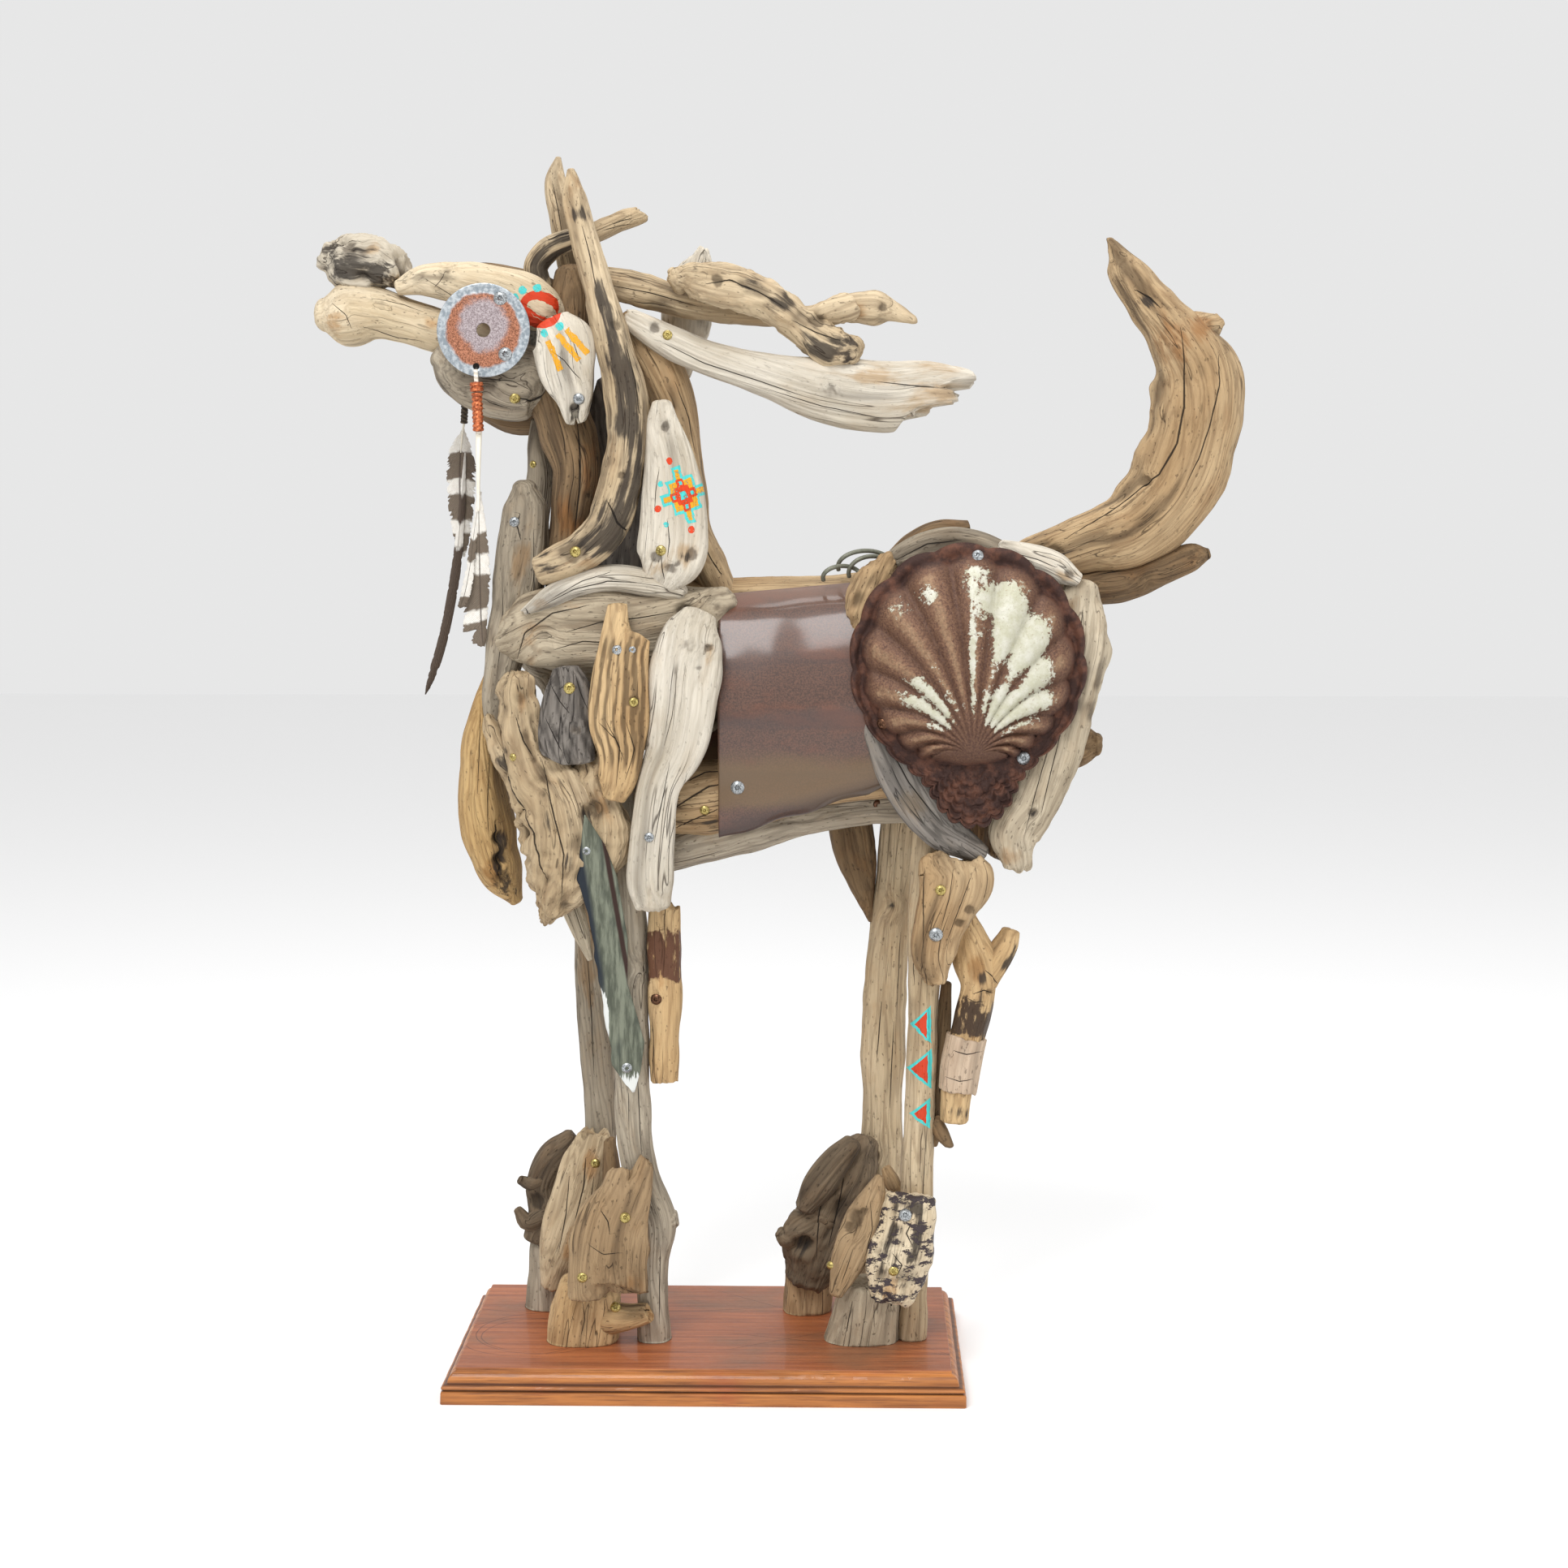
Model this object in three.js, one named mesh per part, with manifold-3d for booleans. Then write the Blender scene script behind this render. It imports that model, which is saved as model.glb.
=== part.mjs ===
// Driftwood horse on a moulded plinth. Millimetres, +Z up, origin at the middle of the plinth's underside.
// The horse faces -X, its near side is -Y. Every stick, plank and metal piece is one solid of its own.
import * as THREE from 'three';
import { mergeVertices } from 'three/addons/utils/BufferGeometryUtils.js';
import Module from 'manifold-3d';

const wasm = await Module();
wasm.setup();

// Driving dimensions
const fitGap = 0.3;
const shardThickness = 2;
const shardFaceY = -68;
const fewestSteps = 4;
const plinthLength = 490;
const plinthWidth = 300;
const plinthTop = 32;
const footDepth = 6;
const footZ = plinthTop - footDepth;
const nearFrontLegY = -43;
const nearHindLegY = -36;
const farLegY = 58;
const discRadius = 43;
const discThickness = 3;
const discHole = 6.5;
const thongHole = 3;
const thongDiameter = 4;
const sheetThickness = 1.5;
const shellThickness = 1.5;
const shellCentre = { x: 244, z: 690 };
const shellHinge = { x: 249, z: 602 };
const shellTail = 45;
const shellRadius = 108;
const shellDomeRadius = 95;
const shellDomeHeight = 34;
const shellBackY = -94;
const shellRibs = 18;
const shellSpokes = 36;

// Finishes
const paleTan = { color: 0xb9a283, roughness: 0.85, metalness: 0 };
const warmTan = { color: 0xa8855a, roughness: 0.85, metalness: 0 };
const brownWood = { color: 0x7c6047, roughness: 0.9, metalness: 0 };
const greyWood = { color: 0x9d9488, roughness: 0.9, metalness: 0 };
const darkGreyWood = { color: 0x6b655f, roughness: 0.9, metalness: 0 };
const whiteWood = { color: 0xcbc4b6, roughness: 0.85, metalness: 0 };
const yellowWood = { color: 0xc19a5d, roughness: 0.8, metalness: 0 };
const plinthStain = { color: 0x9a4526, roughness: 0.5, metalness: 0 };
const galvanised = { color: 0x8b8f94, roughness: 0.55, metalness: 0.7 };
const brownSheet = { color: 0x5a443a, roughness: 0.4, metalness: 0.6 };
const rustyTin = { color: 0x6e4a38, roughness: 0.65, metalness: 0.6 };
const mirrorMetal = { color: 0x8e9692, roughness: 0.15, metalness: 0.9 };
const leatherThong = { color: 0xd8d2c4, roughness: 0.8, metalness: 0 };

// How far the section's corners are taken off, as a share of each half size
const branchSection = (across, deep) => [0.586 * across, 0.586 * deep];
const plankSection = (across, deep) => [0.45 * Math.min(across, deep), 0.45 * Math.min(across, deep)];

function solidFromArrays(positions, triangles) {
  const mesh = new wasm.Mesh({
    numProp: 3,
    vertProperties: new Float32Array(positions),
    triVerts: new Uint32Array(triangles),
  });
  return new wasm.Manifold(mesh);
}

function solidFromGeometry(geometry) {
  const bare = geometry.index ? geometry.toNonIndexed() : geometry.clone();
  bare.deleteAttribute('normal');
  bare.deleteAttribute('uv');
  const merged = mergeVertices(bare, 1e-3);
  return solidFromArrays(merged.attributes.position.array, merged.index.array);
}

// Closed skin over rings of equal length: quads between rings, a fan from the middle on each end
function skinRings(rings) {
  const count = rings[0].length;
  const positions = rings.flat().flatMap((point) => point.toArray());
  const triangles = [];
  for (let ring = 0; ring + 1 < rings.length; ring += 1) {
    for (let corner = 0; corner < count; corner += 1) {
      const here = ring * count + corner;
      const beside = ring * count + ((corner + 1) % count);
      triangles.push(here, beside, beside + count, here, beside + count, here + count);
    }
  }
  const lastRing = (rings.length - 1) * count;
  for (let corner = 1; corner + 1 < count; corner += 1) {
    triangles.push(0, corner + 1, corner);
    triangles.push(lastRing, lastRing + corner, lastRing + corner + 1);
  }
  return solidFromArrays(positions, triangles);
}

// A stick or plank: an eight-cornered section carried along a smooth line through its stations.
// A station is [x, y, z, size across the line, size towards the viewer].
function stick(stations, section, grow) {
  const centres = new THREE.CatmullRomCurve3(
    stations.map(([x, y, z]) => new THREE.Vector3(x, y, z)), false, 'centripetal');
  const sizes = new THREE.CatmullRomCurve3(
    stations.map(([, , , across, deep]) => new THREE.Vector3(across, deep, 0)), false, 'catmullrom', 0.4);
  const steps = Math.max(stations.length - 1, fewestSteps);
  const rings = [];
  for (let step = 0; step <= steps; step += 1) {
    const t = step / steps;
    const along = centres.getTangent(t);
    const side = new THREE.Vector3(0, 1, 0).addScaledVector(along, -along.y).normalize();
    const up = new THREE.Vector3().crossVectors(side, along);
    const size = sizes.getPoint(t);
    const a = size.x / 2 + grow;
    const d = size.y / 2 + grow;
    const [cutA, cutD] = section(a, d);
    const corners = [
      [a, d - cutD], [a - cutA, d], [cutA - a, d], [-a, d - cutD],
      [-a, cutD - d], [cutA - a, -d], [a - cutA, -d], [a, cutD - d],
    ];
    let endShift = 0;
    if (step === 0) endShift = -grow;
    if (step === steps) endShift = grow;
    const centre = centres.getPoint(t).addScaledVector(along, endShift);
    rings.push(corners.map(([u, s]) => centre.clone().addScaledVector(up, u).addScaledVector(side, s)));
  }
  return skinRings(rings);
}

const joined = (solids) => solids.reduce((whole, next) => whole.add(next));
const branch = (...limbs) => (grow) => joined(limbs.map((line) => stick(line, branchSection, grow)));
const plank = (...limbs) => (grow) => joined(limbs.map((line) => stick(line, plankSection, grow)));

// Rectangular plinth: square slab, small bead, cove and a raised top face
function plinth(grow) {
  const profile = [
    [0, 0], [0, 11], [2.5, 13], [1, 15], [2, 17.5], [6, 19], [7.5, 24], [10, 27.5], [13, 29], [13, plinthTop],
  ];
  const rings = profile.map(([inset, z], level) => {
    const x = plinthLength / 2 - inset + grow;
    const y = plinthWidth / 2 - inset + grow;
    let height = z;
    if (level === 0) height = z - grow;
    if (level === profile.length - 1) height = z + grow;
    return [[x, -y], [x, y], [-x, y], [-x, -y]].map(([px, py]) => new THREE.Vector3(px, py, height));
  });
  return skinRings(rings);
}

// Round flat disc facing the viewer, with a hole in the middle and a small one near the rim
function eyeDisc(centreX, faceY, centreZ) {
  return (grow) => {
    const outline = new THREE.Shape();
    outline.absarc(0, 0, discRadius + grow, 0, 2 * Math.PI, false);
    const middle = new THREE.Path();
    middle.absarc(0, 0, discHole, 0, 2 * Math.PI, true);
    const small = new THREE.Path();
    small.absarc(-7, -33, thongHole, 0, 2 * Math.PI, true);
    outline.holes.push(middle, small);
    const disc = new THREE.ExtrudeGeometry(outline, {
      depth: discThickness + 2 * grow, bevelEnabled: false, curveSegments: 9,
    });
    disc.rotateX(Math.PI / 2);
    disc.translate(centreX, faceY + discThickness + grow, centreZ);
    return solidFromGeometry(disc);
  };
}

// Thin sheet: a grid of points and its copy pushed inwards, closed along the four edges.
// place(u, v, push) gives the point for u and v from 0 to 1, push is the distance behind the outer face.
function sheet(place, columns, rows, thickness) {
  const positions = [];
  for (const push of [0, thickness]) {
    for (let row = 0; row <= rows; row += 1) {
      for (let column = 0; column <= columns; column += 1) {
        positions.push(...place(column / columns, row / rows, push));
      }
    }
  }
  const wide = columns + 1;
  const layer = wide * (rows + 1);
  const triangles = [];
  for (let row = 0; row < rows; row += 1) {
    for (let column = 0; column < columns; column += 1) {
      const a = row * wide + column;
      const b = a + 1;
      const c = b + wide;
      const d = a + wide;
      triangles.push(a, b, c, a, c, d);
      triangles.push(layer + a, layer + c, layer + b, layer + a, layer + d, layer + c);
    }
  }
  const edge = (a, b) => triangles.push(b, a, layer + a, b, layer + a, layer + b);
  for (let column = 0; column < columns; column += 1) {
    edge(column, column + 1);
    edge(rows * wide + column + 1, rows * wide + column);
  }
  for (let row = 0; row < rows; row += 1) {
    edge((row + 1) * wide, row * wide);
    edge(row * wide + columns, (row + 1) * wide + columns);
  }
  return solidFromArrays(positions, triangles);
}

// Rippled sheet over the barrel. side is -1 for the near sheet and 1 for the far one.
// Its section bulges from the back log round to the belly; the lower edge rises towards the hip.
const barrelProfile = new THREE.SplineCurve([
  [38, 750], [70, 728], [89, 690], [93, 640], [88, 590], [82, 552], [78, 524],
].map((point) => new THREE.Vector2(...point)));

function barrelSheet(side) {
  const frontX = side < 0 ? 13 : -20;
  return (grow) => {
    const place = (u, v, push) => {
      const along = side < 0 ? u : 1 - u;
      const down = 1 - v;
      const { x: bulge, y: height } = barrelProfile.getPoint(down);
      const x = THREE.MathUtils.lerp(frontX, 146 + 30 * down, along);
      const rise = along * (12 + 38 * down * down);
      return [x, side * (bulge + 1.8 * Math.sin(down * 16) - push + grow), height + rise];
    };
    return sheet(place, 2, 10, sheetThickness + 2 * grow);
  };
}

// Distance from the shell's hinge to its rim: a circle met along the ray, drawn out to a tail below
function shellRim(angle) {
  const toHinge = new THREE.Vector2(shellHinge.x - shellCentre.x, shellHinge.z - shellCentre.z);
  const along = toHinge.dot(new THREE.Vector2(Math.cos(angle), Math.sin(angle)));
  const circle = Math.sqrt(along ** 2 + shellRadius ** 2 - toHinge.lengthSq()) - along;
  const tailAngle = THREE.MathUtils.degToRad(-88);
  const away = Math.atan2(Math.sin(angle - tailAngle), Math.cos(angle - tailAngle));
  return circle + shellTail * Math.exp(-(away ** 2) / 1.17) + 1.4 * Math.cos(shellRibs * angle);
}

const shellAngles = Array.from({ length: shellSpokes }, (_, spoke) => (2 * Math.PI * spoke) / shellSpokes);

// Shell-shaped baking tin: flat flange and a ribbed bowl domed towards the viewer, hollow behind.
// The ribs fan out from the hinge near the lower edge.
function shellTin(grow) {
  if (grow > 0) return shellBlock(grow);
  const shares = [1, 0.93, 0.82, 0.62, 0.3];
  const positions = [];
  const addPoint = (x, z, rib, push) => {
    const fromMiddle = Math.hypot(x - shellCentre.x, z - shellCentre.z);
    const dome = Math.max(0, 1 - (fromMiddle / shellDomeRadius) ** 2) ** 0.6;
    positions.push(x, shellBackY - shellThickness - shellDomeHeight * dome * rib + push, z);
  };
  for (const push of [0, shellThickness]) {
    for (const share of shares) {
      for (const angle of shellAngles) {
        const reach = shellRim(angle) * share;
        const rib = 1 + 0.05 * Math.cos(shellRibs * angle);
        addPoint(shellHinge.x + reach * Math.cos(angle), shellHinge.z + reach * Math.sin(angle), rib, push);
      }
    }
    addPoint(shellHinge.x, shellHinge.z, 1, push);
  }
  const layer = shellSpokes * shares.length + 1;
  const triangles = [];
  const inner = (shares.length - 1) * shellSpokes;
  for (let spoke = 0; spoke < shellSpokes; spoke += 1) {
    const next = (spoke + 1) % shellSpokes;
    for (let ring = 0; ring < inner; ring += shellSpokes) {
      const a = ring + spoke;
      const b = ring + next;
      const c = b + shellSpokes;
      const d = a + shellSpokes;
      triangles.push(a, b, c, a, c, d);
      triangles.push(layer + a, layer + c, layer + b, layer + a, layer + d, layer + c);
    }
    triangles.push(inner + spoke, inner + next, layer - 1);
    triangles.push(layer + inner + next, layer + inner + spoke, 2 * layer - 1);
    triangles.push(next, spoke, layer + spoke, next, layer + spoke, layer + next);
  }
  return solidFromArrays(positions, triangles);
}

// Room in front of the tin's back plane, so that the wood behind is cut flat where the flange lies on it
function shellBlock(grow) {
  const corners = shellAngles.map((angle) => {
    const reach = shellRim(angle) + grow;
    return new THREE.Vector2(reach * Math.cos(angle), reach * Math.sin(angle));
  });
  const block = new THREE.ExtrudeGeometry(new THREE.Shape(corners), { depth: 60, bevelEnabled: false });
  block.rotateX(Math.PI / 2);
  block.translate(shellHinge.x, shellBackY + grow, shellHinge.z);
  return solidFromGeometry(block);
}

// Long splinter of mirror-bright sheet metal
function mirrorShard(grow) {
  const corners = [
    [-110, 548], [-118, 486], [-108, 452], [-100, 388], [-88, 306], [-69, 279], [-58, 328], [-73, 386],
    [-72, 430], [-81, 490],
  ].map((corner) => new THREE.Vector2(...corner));
  const plate = new THREE.ExtrudeGeometry(new THREE.Shape(corners), { depth: shardThickness + 2 * grow, bevelEnabled: false });
  plate.rotateX(Math.PI / 2);
  plate.translate(0, shardFaceY + shardThickness + grow, 0);
  return solidFromGeometry(plate);
}

// Round thong swept along its own line
function thong(route) {
  return (grow) => {
    const line = new THREE.CatmullRomCurve3(route.map((point) => new THREE.Vector3(...point)));
    const section = new THREE.Shape();
    section.absarc(0, 0, thongDiameter / 2 + grow, 0, 2 * Math.PI, false);
    const swept = new THREE.ExtrudeGeometry(section, {
      extrudePath: line, steps: 5, curveSegments: 4, bevelEnabled: false,
    });
    return solidFromGeometry(swept);
  };
}

const nearThongRoute = [[-210, -77.5, 958], [-209, -78, 938], [-208, -78, 918], [-208, -78, 898]];
const farThongRoute = [[-236, 66.5, 960], [-238, 66, 944], [-240, 66, 928], [-241, 66, 912]];

// Pieces that lie outermost come first and keep their whole shape; each later one is cut back around them
const pieces = [
  ['plinth', plinthStain, plinth],

  // Head
  ['eye_disc', galvanised, eyeDisc(-203, -74, 994)],
  ['far_eye_disc', galvanised, eyeDisc(-210, 61, 994)],
  ['near_thong', leatherThong, thong(nearThongRoute)],
  ['far_thong', leatherThong, thong(farThongRoute)],
  ['cheek_plate', whiteWood, plank([
    [-139, -68, 1003, 30, 14], [-130, -69, 981, 63, 24], [-125, -69, 958, 59, 26], [-121, -68, 935, 42, 24],
    [-117, -66, 910, 18, 14]])],
  ['nose_lump', darkGreyWood, branch([
    [-358, -5, 1065, 26, 32], [-342, -5, 1062, 46, 56], [-319, -5, 1057, 52, 62], [-300, -5, 1051, 42, 52],
    [-286, -5, 1040, 18, 26]])],
  ['muzzle', paleTan, branch([
    [-360, -12, 1012, 30, 36], [-342, -12, 1012, 56, 62], [-312, -12, 1013, 49, 56], [-284, -12, 1006, 42, 52],
    [-254, -12, 997, 44, 56], [-215, -12, 988, 46, 56], [-189, -12, 980, 38, 46]])],
  ['forehead', whiteWood, branch([
    [-287, -28, 1036, 16, 22], [-266, -28, 1042, 28, 36], [-235, -30, 1040, 38, 44], [-200, -34, 1033, 48, 54],
    [-171, -36, 1023, 51, 54], [-148, -34, 1014, 42, 46], [-134, -30, 1010, 20, 26]])],
  ['jaw', greyWood, branch([
    [-247, -25, 974, 26, 36], [-234, -25, 964, 48, 60], [-210, -27, 955, 66, 74], [-182, -27, 950, 70, 76],
    [-159, -25, 947, 60, 66], [-144, -25, 941, 34, 44]])],
  ['far_jaw', brownWood, branch([
    [-236, 30, 985, 30, 30], [-216, 32, 960, 66, 48], [-188, 33, 942, 82, 52], [-160, 32, 942, 76, 50],
    [-132, 28, 958, 42, 34]])],
  ['poll_block', brownWood, branch([
    [-126, -12, 1050, 34, 48], [-126, -12, 1021, 40, 62], [-128, -12, 990, 38, 62], [-128, -10, 960, 34, 50]])],
  ['ear_mane_branch', greyWood, branch([
    [-124, -50, 1141, 9, 12], [-122, -50, 1119, 23, 26], [-114, -50, 1086, 29, 32], [-104, -55, 1053, 31, 36],
    [-94, -60, 1017, 32, 38], [-84, -65, 981, 34, 40], [-75, -68, 945, 39, 42], [-71, -72, 914, 38, 42],
    [-73, -75, 880, 37, 42], [-80, -76, 844, 39, 42], [-91, -77, 814, 41, 42], [-111, -77, 793, 38, 40],
    [-132, -76, 781, 35, 38], [-152, -75, 774, 28, 30]])],
  ['far_ear', paleTan, branch([
    [-143, 30, 1162, 7, 10], [-146, 30, 1141, 20, 24], [-140, 30, 1111, 28, 32], [-131, 27, 1074, 33, 36],
    [-124, 20, 1040, 34, 38]])],
  ['forelock_branch', warmTan, branch([
    [-64, -12, 1104, 15, 16], [-80, -12, 1099, 20, 24], [-103, -12, 1089, 21, 26], [-128, -12, 1082, 21, 26],
    [-149, -12, 1072, 22, 27], [-161, -12, 1056, 22, 27], [-155, -12, 1037, 20, 24]])],

  // Mane
  ['mane_gnarled_branch', warmTan, branch([
    [-27, -42, 1044, 14, 20], [-6, -45, 1041, 32, 38], [16, -45, 1036, 39, 42], [46, -42, 1029, 33, 38],
    [73, -38, 1014, 29, 34], [96, -36, 997, 30, 34], [118, -36, 982, 33, 36], [136, -36, 977, 19, 24]])],
  ['mane_plank', greyWood, plank([
    [-70, -45, 1006, 21, 24], [-31, -45, 984, 31, 32], [2, -42, 970, 33, 34], [49, -38, 956, 40, 34],
    [111, -32, 940, 62, 32], [171, -28, 935, 67, 30], [215, -25, 941, 48, 24], [246, -25, 952, 16, 12]])],
  ['mane_back_branch', warmTan, branch([
    [-104, -22, 1044, 24, 26], [-64, -20, 1034, 27, 28], [-38, -18, 1027, 27, 26], [5, -10, 1018, 24, 26],
    [60, -6, 1012, 22, 24], [104, -6, 1013, 20, 24], [144, -8, 1021, 32, 32], [168, -8, 1019, 30, 28],
    [196, -8, 1008, 6, 8]])],

  // Neck
  ['neck_plate', whiteWood, plank([
    [-39, -70, 931, 9, 10], [-37, -72, 906, 31, 20], [-32, -74, 876, 46, 26], [-29, -76, 843, 57, 28],
    [-29, -78, 809, 62, 28], [-32, -80, 783, 58, 26], [-42, -80, 763, 26, 16]])],
  ['chest_plank', greyWood, plank([
    [-173, -38, 853, 20, 26], [-171, -38, 832, 41, 38], [-174, -38, 790, 46, 42], [-181, -38, 744, 44, 42],
    [-191, -38, 698, 40, 40], [-198, -38, 652, 32, 34], [-202, -38, 617, 17, 20]])],
  ['neck_front_branch', warmTan, branch([
    [-146, -18, 950, 60, 60], [-133, -20, 908, 55, 62], [-122, -22, 869, 46, 60], [-125, -25, 835, 42, 58],
    [-130, -25, 800, 40, 56], [-133, -25, 750, 40, 54]])],
  ['neck_back_branch', brownWood, branch([
    [-76, -15, 1006, 26, 40], [-50, -15, 970, 40, 58], [-34, -12, 930, 42, 62], [-25, -12, 890, 38, 60],
    [-16, -14, 847, 33, 58], [-9, -14, 808, 30, 56], [0, -12, 778, 38, 56], [12, -12, 748, 38, 52]])],
  ['far_neck_plank', greyWood, plank([
    [-78, 22, 952, 60, 22], [-76, 26, 900, 92, 26], [-72, 28, 840, 100, 28], [-74, 30, 780, 108, 28],
    [-80, 32, 735, 84, 24]])],

  // Shoulder and chest
  ['striped_plank', warmTan, plank([
    [-88, -102, 743, 8, 10], [-77, -106, 717, 42, 20], [-70, -108, 694, 56, 22], [-76, -108, 662, 55, 22],
    [-78, -108, 630, 53, 22], [-78, -105, 598, 40, 20], [-82, -102, 561, 9, 12]])],
  ['white_shoulder_plank', whiteWood, plank([
    [-3, -92, 741, 14, 14], [-10, -98, 720, 47, 24], [-16, -100, 690, 64, 28], [-22, -100, 648, 60, 30],
    [-34, -98, 600, 54, 30], [-45, -95, 556, 46, 28], [-53, -92, 505, 41, 28], [-50, -88, 455, 16, 16]])],
  ['grey_plank', darkGreyWood, plank([
    [-120, -96, 687, 19, 10], [-124, -98, 667, 47, 16], [-128, -98, 641, 51, 18], [-125, -98, 615, 45, 16],
    [-116, -96, 596, 19, 10]])],
  ['chest_root', paleTan, branch([
    [-173, -68, 675, 22, 26], [-171, -72, 651, 35, 36], [-166, -75, 620, 38, 42], [-152, -76, 586, 61, 46],
    [-134, -76, 549, 84, 48], [-131, -75, 510, 80, 50], [-141, -73, 471, 50, 42], [-150, -72, 440, 10, 16],
  ], [
    [-203, -60, 633, 8, 14], [-194, -66, 612, 18, 24], [-178, -72, 586, 27, 32], [-158, -76, 560, 38, 36],
  ], [
    [-110, -76, 600, 14, 18], [-103, -78, 579, 33, 34], [-93, -78, 549, 38, 38], [-91, -76, 518, 30, 32],
    [-102, -74, 490, 14, 20]])],
  ['shoulder_plate', greyWood, plank([
    [-187, -40, 706, 34, 40], [-158, -52, 716, 70, 52], [-113, -62, 719, 84, 54], [-60, -62, 719, 80, 52],
    [-14, -58, 728, 60, 48], [18, -50, 743, 26, 34]])],
  ['chest_slab', yellowWood, branch([
    [-210, -5, 670, 10, 30], [-215, -5, 634, 28, 74], [-217, -5, 595, 43, 98], [-216, -5, 555, 47, 104],
    [-210, -5, 516, 48, 98], [-200, -5, 481, 40, 84], [-186, -5, 454, 12, 34]])],
  ['far_shoulder_plate', greyWood, plank([
    [-187, 34, 706, 44, 40], [-155, 50, 700, 100, 46], [-100, 60, 680, 150, 48], [-50, 62, 670, 150, 46],
    [0, 54, 690, 110, 40], [24, 44, 720, 50, 28]])],

  // Hip and tail
  ['shell_mould', rustyTin, shellTin],
  ['near_thigh_wedge', warmTan, plank([
    [242, -79, 520, 68, 20], [237, -80, 489, 74, 24], [226, -80, 451, 57, 24], [214, -78, 412, 42, 22],
    [213, -75, 382, 18, 14]])],
  ['hip_plank_front', greyWood, plank([
    [152, -78, 668, 22, 20], [160, -80, 640, 34, 26], [175, -80, 603, 42, 28], [196, -80, 565, 46, 28],
    [222, -80, 533, 42, 26], [258, -78, 508, 20, 16]])],
  ['hip_plank_rear', whiteWood, plank([
    [350, -72, 757, 28, 20], [346, -78, 716, 58, 30], [339, -79, 678, 60, 30], [330, -79, 640, 58, 30],
    [321, -79, 602, 54, 30], [308, -79, 561, 50, 30], [298, -77, 526, 44, 28], [294, -74, 490, 18, 18]])],
  ['hip_crest', greyWood, branch([
    [164, -60, 777, 12, 22], [194, -62, 790, 26, 36], [228, -62, 797, 30, 40], [260, -62, 794, 28, 38],
    [290, -62, 780, 24, 34], [318, -62, 764, 16, 24]])],
  ['tail_branch', warmTan, branch([
    [379, -5, 1076, 10, 14], [394, -5, 1052, 33, 40], [415, -5, 1023, 44, 54], [440, -5, 993, 58, 62],
    [459, -5, 960, 77, 66], [462, -5, 925, 87, 68], [453, -5, 882, 86, 68], [434, -5, 842, 82, 66],
    [402, -5, 812, 76, 62], [358, -5, 797, 64, 58], [318, -5, 784, 48, 50], [276, -5, 770, 30, 40],
  ], [
    [452, -5, 995, 40, 44], [470, -5, 1000, 34, 36], [482, -5, 1007, 18, 20]])],
  ['tail_stub', brownWood, branch([
    [325, -5, 752, 34, 38], [376, -5, 757, 37, 42], [407, -5, 763, 36, 40], [438, -5, 775, 31, 36],
    [460, -5, 784, 26, 30], [474, -5, 787, 11, 14]])],
  ['far_hip_board', brownWood, plank([
    [262, 58, 782, 110, 24], [264, 64, 730, 186, 32], [266, 67, 660, 206, 34], [270, 67, 600, 186, 34],
    [268, 64, 545, 120, 32], [264, 60, 505, 50, 22],
  ], [
    [330, 62, 597, 60, 34], [362, 60, 599, 42, 36], [377, 58, 600, 22, 24]])],
  ['rump_log', brownWood, branch([
    [318, -6, 762, 46, 96], [322, -6, 700, 56, 124], [318, -6, 630, 60, 126], [298, -6, 560, 56, 110],
    [278, -6, 505, 30, 74]])],

  // Barrel
  ['back_log', warmTan, branch([
    [-60, -5, 738, 42, 72], [21, -5, 741, 44, 66], [99, -5, 746, 42, 66], [176, -5, 748, 46, 74],
    [246, -5, 750, 52, 90], [296, -5, 748, 46, 90]])],
  ['upper_belly_log', paleTan, branch([
    [-54, -45, 556, 58, 58], [-8, -46, 557, 70, 62], [23, -46, 561, 66, 60], [100, -46, 578, 60, 58],
    [182, -48, 588, 52, 54]])],
  ['belly_log', greyWood, branch([
    [-105, -4, 498, 38, 60], [-83, -4, 502, 42, 76], [-33, -4, 511, 53, 88], [22, -2, 526, 54, 92],
    [99, 0, 543, 50, 92], [161, 0, 552, 50, 90], [215, 0, 552, 42, 80]])],
  ['body_panel', brownSheet, barrelSheet(-1)],
  ['far_body_panel', brownSheet, barrelSheet(1)],

  // Legs
  ['front_leg_splint', warmTan, plank([
    [-38, -60, 460, 20, 18], [-41, -59, 422, 32, 26], [-42, -57, 367, 32, 26], [-41, -55, 313, 28, 24],
    [-43, -55, 274, 26, 20]])],
  ['mirror_shard', mirrorMetal, mirrorShard],
  ['heel_fork', paleTan, branch([
    [248, -70, 440, 12, 16], [256, -64, 418, 18, 22], [261, -60, 396, 28, 28], [260, -57, 370, 32, 32],
    [252, -55, 342, 34, 34], [246, -54, 311, 36, 34], [242, -54, 271, 35, 34], [239, -54, 247, 29, 28],
  ], [
    [293, -60, 427, 12, 18], [288, -60, 411, 18, 22], [275, -60, 392, 23, 26], [261, -60, 374, 24, 28]])],
  ['near_hind_leg', paleTan, branch([
    [225, -54, 640, 36, 34], [214, -54, 546, 35, 34], [209, -53, 469, 33, 34], [206, -48, 374, 31, 33],
    [202, -42, 234, 29, 33], [200, -38, 135, 29, 33], [197, nearHindLegY, footZ, 28, 33]])],
  ['far_hind_leg', paleTan, branch([
    [197, 48, 640, 38, 38], [184, 50, 503, 39, 39], [171, 54, 357, 42, 40], [169, 56, 213, 42, 40],
    [167, 57, 128, 41, 40], [166, farLegY, footZ, 40, 40]])],
  ['far_thigh_wedge', brownWood, plank([
    [134, 48, 540, 42, 42], [140, 49, 503, 42, 44], [148, 50, 466, 30, 38], [157, 50, 427, 8, 18]])],
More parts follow.
